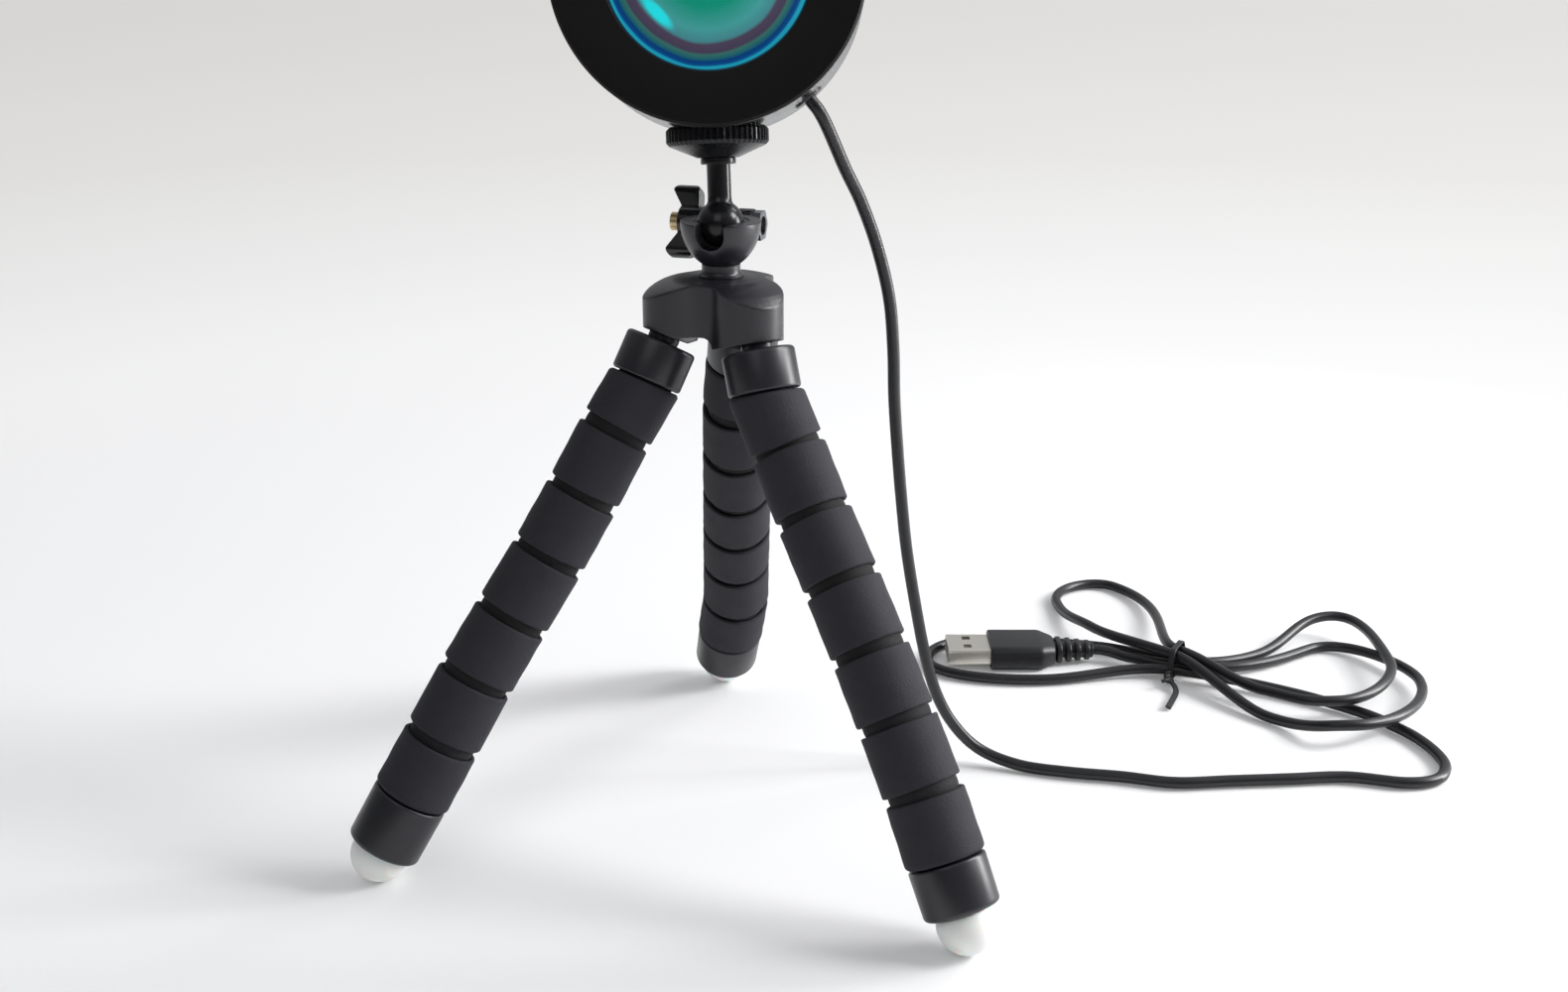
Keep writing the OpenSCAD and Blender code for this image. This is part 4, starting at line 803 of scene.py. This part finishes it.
def make_tie(s):
    """Tie: a flat band round the strands, twisted on the near side, with one end lying towards the front."""
    w = s.tie_width / MM
    place = move(123, 75.7, 0) @ turn("z", 60) @ turn("x", 90)
    r = 1.98
    left, right, low, high = -3.95 - r, 4.1 + r, 2.5 - r, 6.3 + r
    corners = rounded([(left, 3, 0), (left, low, r), (right, low, r), (right, 4.2, r),
                       (2.4 + r * 0.9, high, r * 0.9), (-2.55 - r * 0.7, high, r * 0.8), (left, 3, 0)], 8)
    flat = np.concatenate([corners, np.zeros((len(corners), 1))], 1)
    band = put(even(flat, 0.4)[:-1], place)
    out = np.array([place[:3, 2]] * len(band))
    t = np.roll(band, -1, 0) - np.roll(band, 1, 0)
    t /= np.linalg.norm(t, axis=1)[:, None]
    up = np.cross(t, out)
    sec = box_outline(0.5, w, 0.22, 3)
    loop = band[:, None] + sec[:, :1] * up[:, None] + sec[:, 1:] * out[:, None]
    # Twisted ends: two strands wound about one line, then one goes on as a flat tail on the floor
    line = even(through([(119.9, 70.6, 2.6), (119.2, 69.2, 2.2), (118.9, 67.6, 2.0), (119.3, 66, 1.9)]), 0.12)
    u, v = ring_frames(line)
    x = np.linspace(0, TAU * 1.6, len(line))[:, None]
    wind = 0.5 * (np.cos(x) * u + np.sin(x) * v)
    strands = [skin(sweep(line + side * wind, circle(0.55, 10))) for side in (1, -1)]
    tail = even(through([(119.3, 66.4, 1.9), (119.9, 63.9, 1.5), (119.6, 60.9, 1.05), (117.6, 56.3, 0.95),
                         (115.4, 51.6, 1.0)]), 0.4)
    stub = even(through([(119.4, 66.4, 2.0), (118, 65.3, 2.6), (116.6, 65, 2.5)]), 0.3)
    black = finish("tie_black", (0.012, 0.012, 0.013), 0.42, bump=0.06)
    parts = [skin(loop, loop=True), *strands, skin(sweep(tail, box_outline(w, 0.75, 0.3, 3))),
             skin(sweep(stub, circle(0.5, 10)))]
    join(build("tie_band", parts, black, 50), "stand", "tie_black", "twist_tie")


def make_plug(s):
    """Overmould: rounded rectangles lofted along the plug, with four ribs on the strain relief, a shoulder
    and a block. Each station is [place along, width, height, corner radius]."""
    w, h, long = s.plug_width / MM, s.plug_height / MM, s.plug_length / MM
    core = (4.4, 4.4, 2.15)
    st = [(0, 3.0, 3.0, 1.45), (0.25, 3.9, 3.9, 1.9), (0.5, *core)]
    for i in range(4):
        a, rw, rh = 1.2 + 2.6 * i, 6 + i, 5 + 0.25 * i
        st += [(a - 0.02, *core), (a, rw - 0.7, rh - 0.7, 2.0), (a + 0.09, rw - 0.25, rh - 0.25, 2.2),
               (a + 0.3, rw, rh, 2.3), (a + 1.2, rw, rh, 2.3), (a + 1.41, rw - 0.25, rh - 0.25, 2.2),
               (a + 1.5, rw - 0.7, rh - 0.7, 2.0), (a + 1.52, *core)]
    end = 15 + long
    st += [(10.95, *core), (11, 9.6, 4.7, 1.9), (11.15, 10.3, 5.2, 2.0), (11.5, 11, 5.5, 2.1),
           (14.5, 15.4, 6.65, 2.2), (15.1, w - 0.1, h - 0.03, 2.2), (15.8, w, h, 2.2),
           (end - 0.6, w, h, 2.2), (end - 0.2, w - 0.25, h - 0.25, 2.1), (end, w - 0.9, h - 0.9, 1.9),
           (end + 0.01, 12, 4.4, 0.6)]
    rings = []
    for x, a, b, c in st:
        o = box_outline(a, b, c, 8)
        rings.append(np.concatenate([np.full((len(o), 1), x), o], 1))
    black = finish("plug_black", (0.009, 0.0093, 0.0115), 0.4, bump=0.06, vary=0.05)
    o = build("plug_overmould", [skin(put(np.array(rings), PLUG))], black, 40, PLUG)
    join(o, "stand", "cord_pvc", "plug_body")


# ---------------------------------------------------------------- what stays CAD
def dress_cad():
    """Procedural materials on the CAD nodes that show as they are."""
    steel = finish("steel", (0.56, 0.57, 0.59), 0.32, metal=1.0, bump=0.04, vary=0.06)
    brass = finish("screw_brass", (0.55, 0.43, 0.25), 0.34, metal=1.0, bump=0.04, vary=0.08)
    dark = finish("nut_dark", (0.16, 0.165, 0.18), 0.35, metal=0.9, vary=0.06)
    sheet = finish("shell_metal", (0.72, 0.69, 0.63), 0.3, metal=1.0, bump=0.02, vary=0.06)
    white = finish("tongue_white", (0.8, 0.8, 0.78), 0.5)
    looks = {
        "clamp_screw": brass, "clamp_nut": dark, "hub_screw": steel, "board_screws": steel,
        "head_screws": steel, "mount_nut": steel, "plug_shell": sheet, "plug_tongue": white,
        "ball_seat": finish("liner_grey", (0.03, 0.031, 0.035), 0.5),
        "reflector": finish("reflector_chrome", (0.8, 0.81, 0.83), 0.12, metal=1.0),
        "led_chip": finish("led_yellow", (0.85, 0.75, 0.3), 0.25),
        "led_board": finish("board_white", (0.8, 0.8, 0.78), 0.45),
        "heat_sink": finish("sink_metal", (0.55, 0.56, 0.58), 0.38, metal=1.0, vary=0.06),
    }
    for name, material in looks.items():
        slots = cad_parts[name].data.materials
        slots.clear()
        slots.append(material)


# ---------------------------------------------------------------- stage
# Display tone of the floor's and the room's far end
FAR_TONE = (220, 219, 217)


def make_floor():
    """Pale floor. Away from the lamp the camera sees it as a glow, a painted fall-off of the light: warm
    grey, paler towards the lamp, by a ramp over the distance from the origin in metres, and brighter towards
    the right."""
    half, low = 12, -0.00015
    mesh = bpy.data.meshes.new("floor")
    mesh.from_pydata([(-half, -half, low), (half, -half, low), (half, half, low), (-half, half, low)], [],
                     [(0, 1, 2, 3)])
    m, t, p = blank("floor_pale")
    put_in(p, Roughness=0.8, Specular_IOR_Level=0.1, Base_Color=(0.95, 0.95, 0.955, 1))
    at, part, away = node(t, "TexCoord"), node(t, "SeparateXYZ"), node(t, "VectorMath", "LENGTH")
    span = node(t, "MapRange", From_Min=0.3, From_Max=3.0)
    stops = ((0.0, (251, 251, 252)), (0.057, (248, 248, 249)), (0.148, (239, 239, 239)),
             (0.307, (229, 228, 227)), (0.6, (223, 222, 220)), (0.94, FAR_TONE))
    ramp = ramp_of(t, [(x, linear(*c)) for x, c in stops])
    deep, side, share = (node(t, "Math", kind) for kind in ("ADD", "DIVIDE", "MULTIPLY"))
    deep.inputs[1].default_value = 0.3
    tone = node(t, "MapRange", From_Min=-0.45, From_Max=0.45, To_Min=0.924, To_Max=1.076)
    # Painted light: near the lamp the camera still sees 12 % of the glow, which lifts the floor there
    near = node(t, "MapRange", From_Min=0.2, From_Max=0.5, To_Min=0.12)
    seen, glow, mix = node(t, "LightPath"), node(t, "Emission"), node(t, "MixShader")
    wire(t, (at, "Object", part, 0), (at, "Object", away, 0), (away, "Value", span, "Value"),
         (span, "Result", ramp, "Fac"), (ramp, "Color", glow, "Color"), (away, "Value", deep, 0),
         (part, "X", side, 0), (deep, 0, side, 1), (side, 0, tone, "Value"),
         (tone, "Result", glow, "Strength"), (away, "Value", near, "Value"),
         (near, "Result", share, 0), (seen, "Is Camera Ray", share, 1), (share, 0, mix, 0),
         (p, 0, mix, 1), (glow, 0, mix, 2), (mix, 0, t.nodes["Material Output"], "Surface"))
    mesh.materials.append(m)
    add("floor", mesh)


def make_room(s):
    """The light all round: bright above and behind to the right, dim on the camera's side. What the camera
    itself sees beyond the floor is as pale as the floor's far end."""
    world = bpy.data.worlds.new("studio")
    bpy.context.scene.world = world
    world.use_nodes = True
    t = world.node_tree
    back = t.nodes["Background"]
    put_in(back, Color=(0.97, 0.98, 1.0, 1))
    at, dot = node(t, "TexCoord"), node(t, "VectorMath", "DOT_PRODUCT")
    dot.inputs[1].default_value = (0.35, 0.45, 0.82)
    span = node(t, "MapRange", From_Min=-0.35, From_Max=1.0, To_Min=0.1 * s.sky, To_Max=1.35 * s.sky)
    pale = node(t, "Background", Color=(*linear(*FAR_TONE), 1))
    seen, mix = node(t, "LightPath"), node(t, "MixShader")
    wire(t, (at, "Generated", dot, 0), (dot, "Value", span, "Value"), (span, "Result", back, "Strength"),
         (seen, "Is Camera Ray", mix, 0), (back, 0, mix, 1), (pale, 0, mix, 2),
         (mix, 0, t.nodes["World Output"], "Surface"))


def make_lights(s):
    """Four soft rectangles turned to the lamp: name, place, width, height and power, in metres and watts."""
    aim = Vector((0.03, 0.0, 0.09))
    for name, place, across, tall, watts in (("key", (1.45, -0.12, 1.05), 0.55, 0.55, s.key_power),
                                             ("back", (1.24, 0.72, 1.3), 0.55, 0.55, s.back_power),
                                             ("strip", (0.72, 0.1, 0.2), 0.14, 0.36, s.strip_power),
                                             ("fill", (-0.25, -0.75, 0.75), 0.5, 0.5, s.fill_power)):
        light = bpy.data.lights.new(name, "AREA")
        light.shape = "RECTANGLE"
        light.size, light.size_y = across, tall
        light.energy = watts
        o = add(name, light)
        o.location = place
        o.rotation_euler = (aim - Vector(place)).to_track_quat("-Z", "Y").to_euler()


def make_camera(s):
    """Camera in front of the lamp, tipped down a little, in the Standard view."""
    cam = bpy.data.cameras.new("camera")
    cam.sensor_width = 36
    cam.sensor_fit = "HORIZONTAL"
    cam.lens = s.focal_length
    cam.clip_start, cam.clip_end = 0.01, 50
    o = add("camera", cam)
    o.location = (-0.0003, -s.camera_distance, s.camera_height)
    o.rotation_euler = (math.radians(71.8), 0, math.radians(-1.99))
    bpy.context.scene.camera = o
    bpy.context.scene.view_settings.view_transform = "Standard"


# ---------------------------------------------------------------- operators
class LAMP_OT_stage(bpy.types.Operator):
    """Make the camera, the lights and the floor"""

    bl_idname = "lamp.stage"
    bl_label = "Stage"

    def execute(self, context):
        s = context.scene.lamp_stage
        make_floor()
        make_room(s)
        make_lights(s)
        make_camera(s)
        return {"FINISHED"}


class LAMP_OT_lead(bpy.types.Operator):
    """Make the lead, its tie and its plug"""

    bl_idname = "lamp.lead"
    bl_label = "Lead and Plug"

    def execute(self, context):
        s = context.scene.lamp_sizes
        LAMP_OT_lead.made = make_lead(s)
        make_plug(s)
        make_tie(s)
        return {"FINISHED"}


class LAMP_OT_head(bpy.types.Operator):
    """Make the lamp head with its lens"""

    bl_idname = "lamp.head"
    bl_label = "Head"

    def execute(self, context):
        make_head(context.scene.lamp_sizes)
        return {"FINISHED"}


class LAMP_OT_joint(bpy.types.Operator):
    """Make the lock wheel, the stem and the ball joint"""

    bl_idname = "lamp.joint"
    bl_label = "Ball Joint"

    def execute(self, context):
        make_joint(context.scene.lamp_sizes)
        return {"FINISHED"}


class LAMP_OT_hub(bpy.types.Operator):
    """Make the stand's hub"""

    bl_idname = "lamp.hub"
    bl_label = "Hub"

    def execute(self, context):
        make_hub()
        return {"FINISHED"}


class LAMP_OT_legs(bpy.types.Operator):
    """Make the three flexible legs"""

    bl_idname = "lamp.legs"
    bl_label = "Legs"

    def execute(self, context):
        make_legs(context.scene.lamp_sizes)
        return {"FINISHED"}


class LAMP_OT_fittings(bpy.types.Operator):
    """Give the CAD fittings their materials"""

    bl_idname = "lamp.fittings"
    bl_label = "Fittings"

    def execute(self, context):
        dress_cad()
        return {"FINISHED"}


OPERATORS = (LAMP_OT_stage, LAMP_OT_lead, LAMP_OT_head, LAMP_OT_joint, LAMP_OT_hub, LAMP_OT_legs,
             LAMP_OT_fittings)


class LAMP_PT_build(bpy.types.Panel):
    """Sizes and steps of the lamp"""

    bl_label = "Lamp"
    bl_idname = "LAMP_PT_build"
    bl_space_type = "VIEW_3D"
    bl_region_type = "UI"
    bl_category = "Lamp"

    def draw(self, context):
        for group in (context.scene.lamp_sizes, context.scene.lamp_stage):
            column = self.layout.column(align=True)
            for name in group.__annotations__:
                column.prop(group, name)
        for op in OPERATORS:
            self.layout.operator(op.bl_idname)


CLASSES = (LampSizes, LampStage, *OPERATORS, LAMP_PT_build)


def register():
    for c in CLASSES:
        bpy.utils.register_class(c)
    bpy.types.Scene.lamp_sizes = bpy.props.PointerProperty(type=LampSizes)
    bpy.types.Scene.lamp_stage = bpy.props.PointerProperty(type=LampStage)


def unregister():
    del bpy.types.Scene.lamp_stage
    del bpy.types.Scene.lamp_sizes
    for c in reversed(CLASSES):
        bpy.utils.unregister_class(c)


def main():
    register()
    for op in (bpy.ops.lamp.stage, bpy.ops.lamp.lead, bpy.ops.lamp.head, bpy.ops.lamp.joint, bpy.ops.lamp.hub,
               bpy.ops.lamp.legs, bpy.ops.lamp.fittings):
        if op() != {"FINISHED"}:
            raise RuntimeError("a step did not finish")
    bpy.context.view_layer.update()


if __name__ == "__main__":
    main()
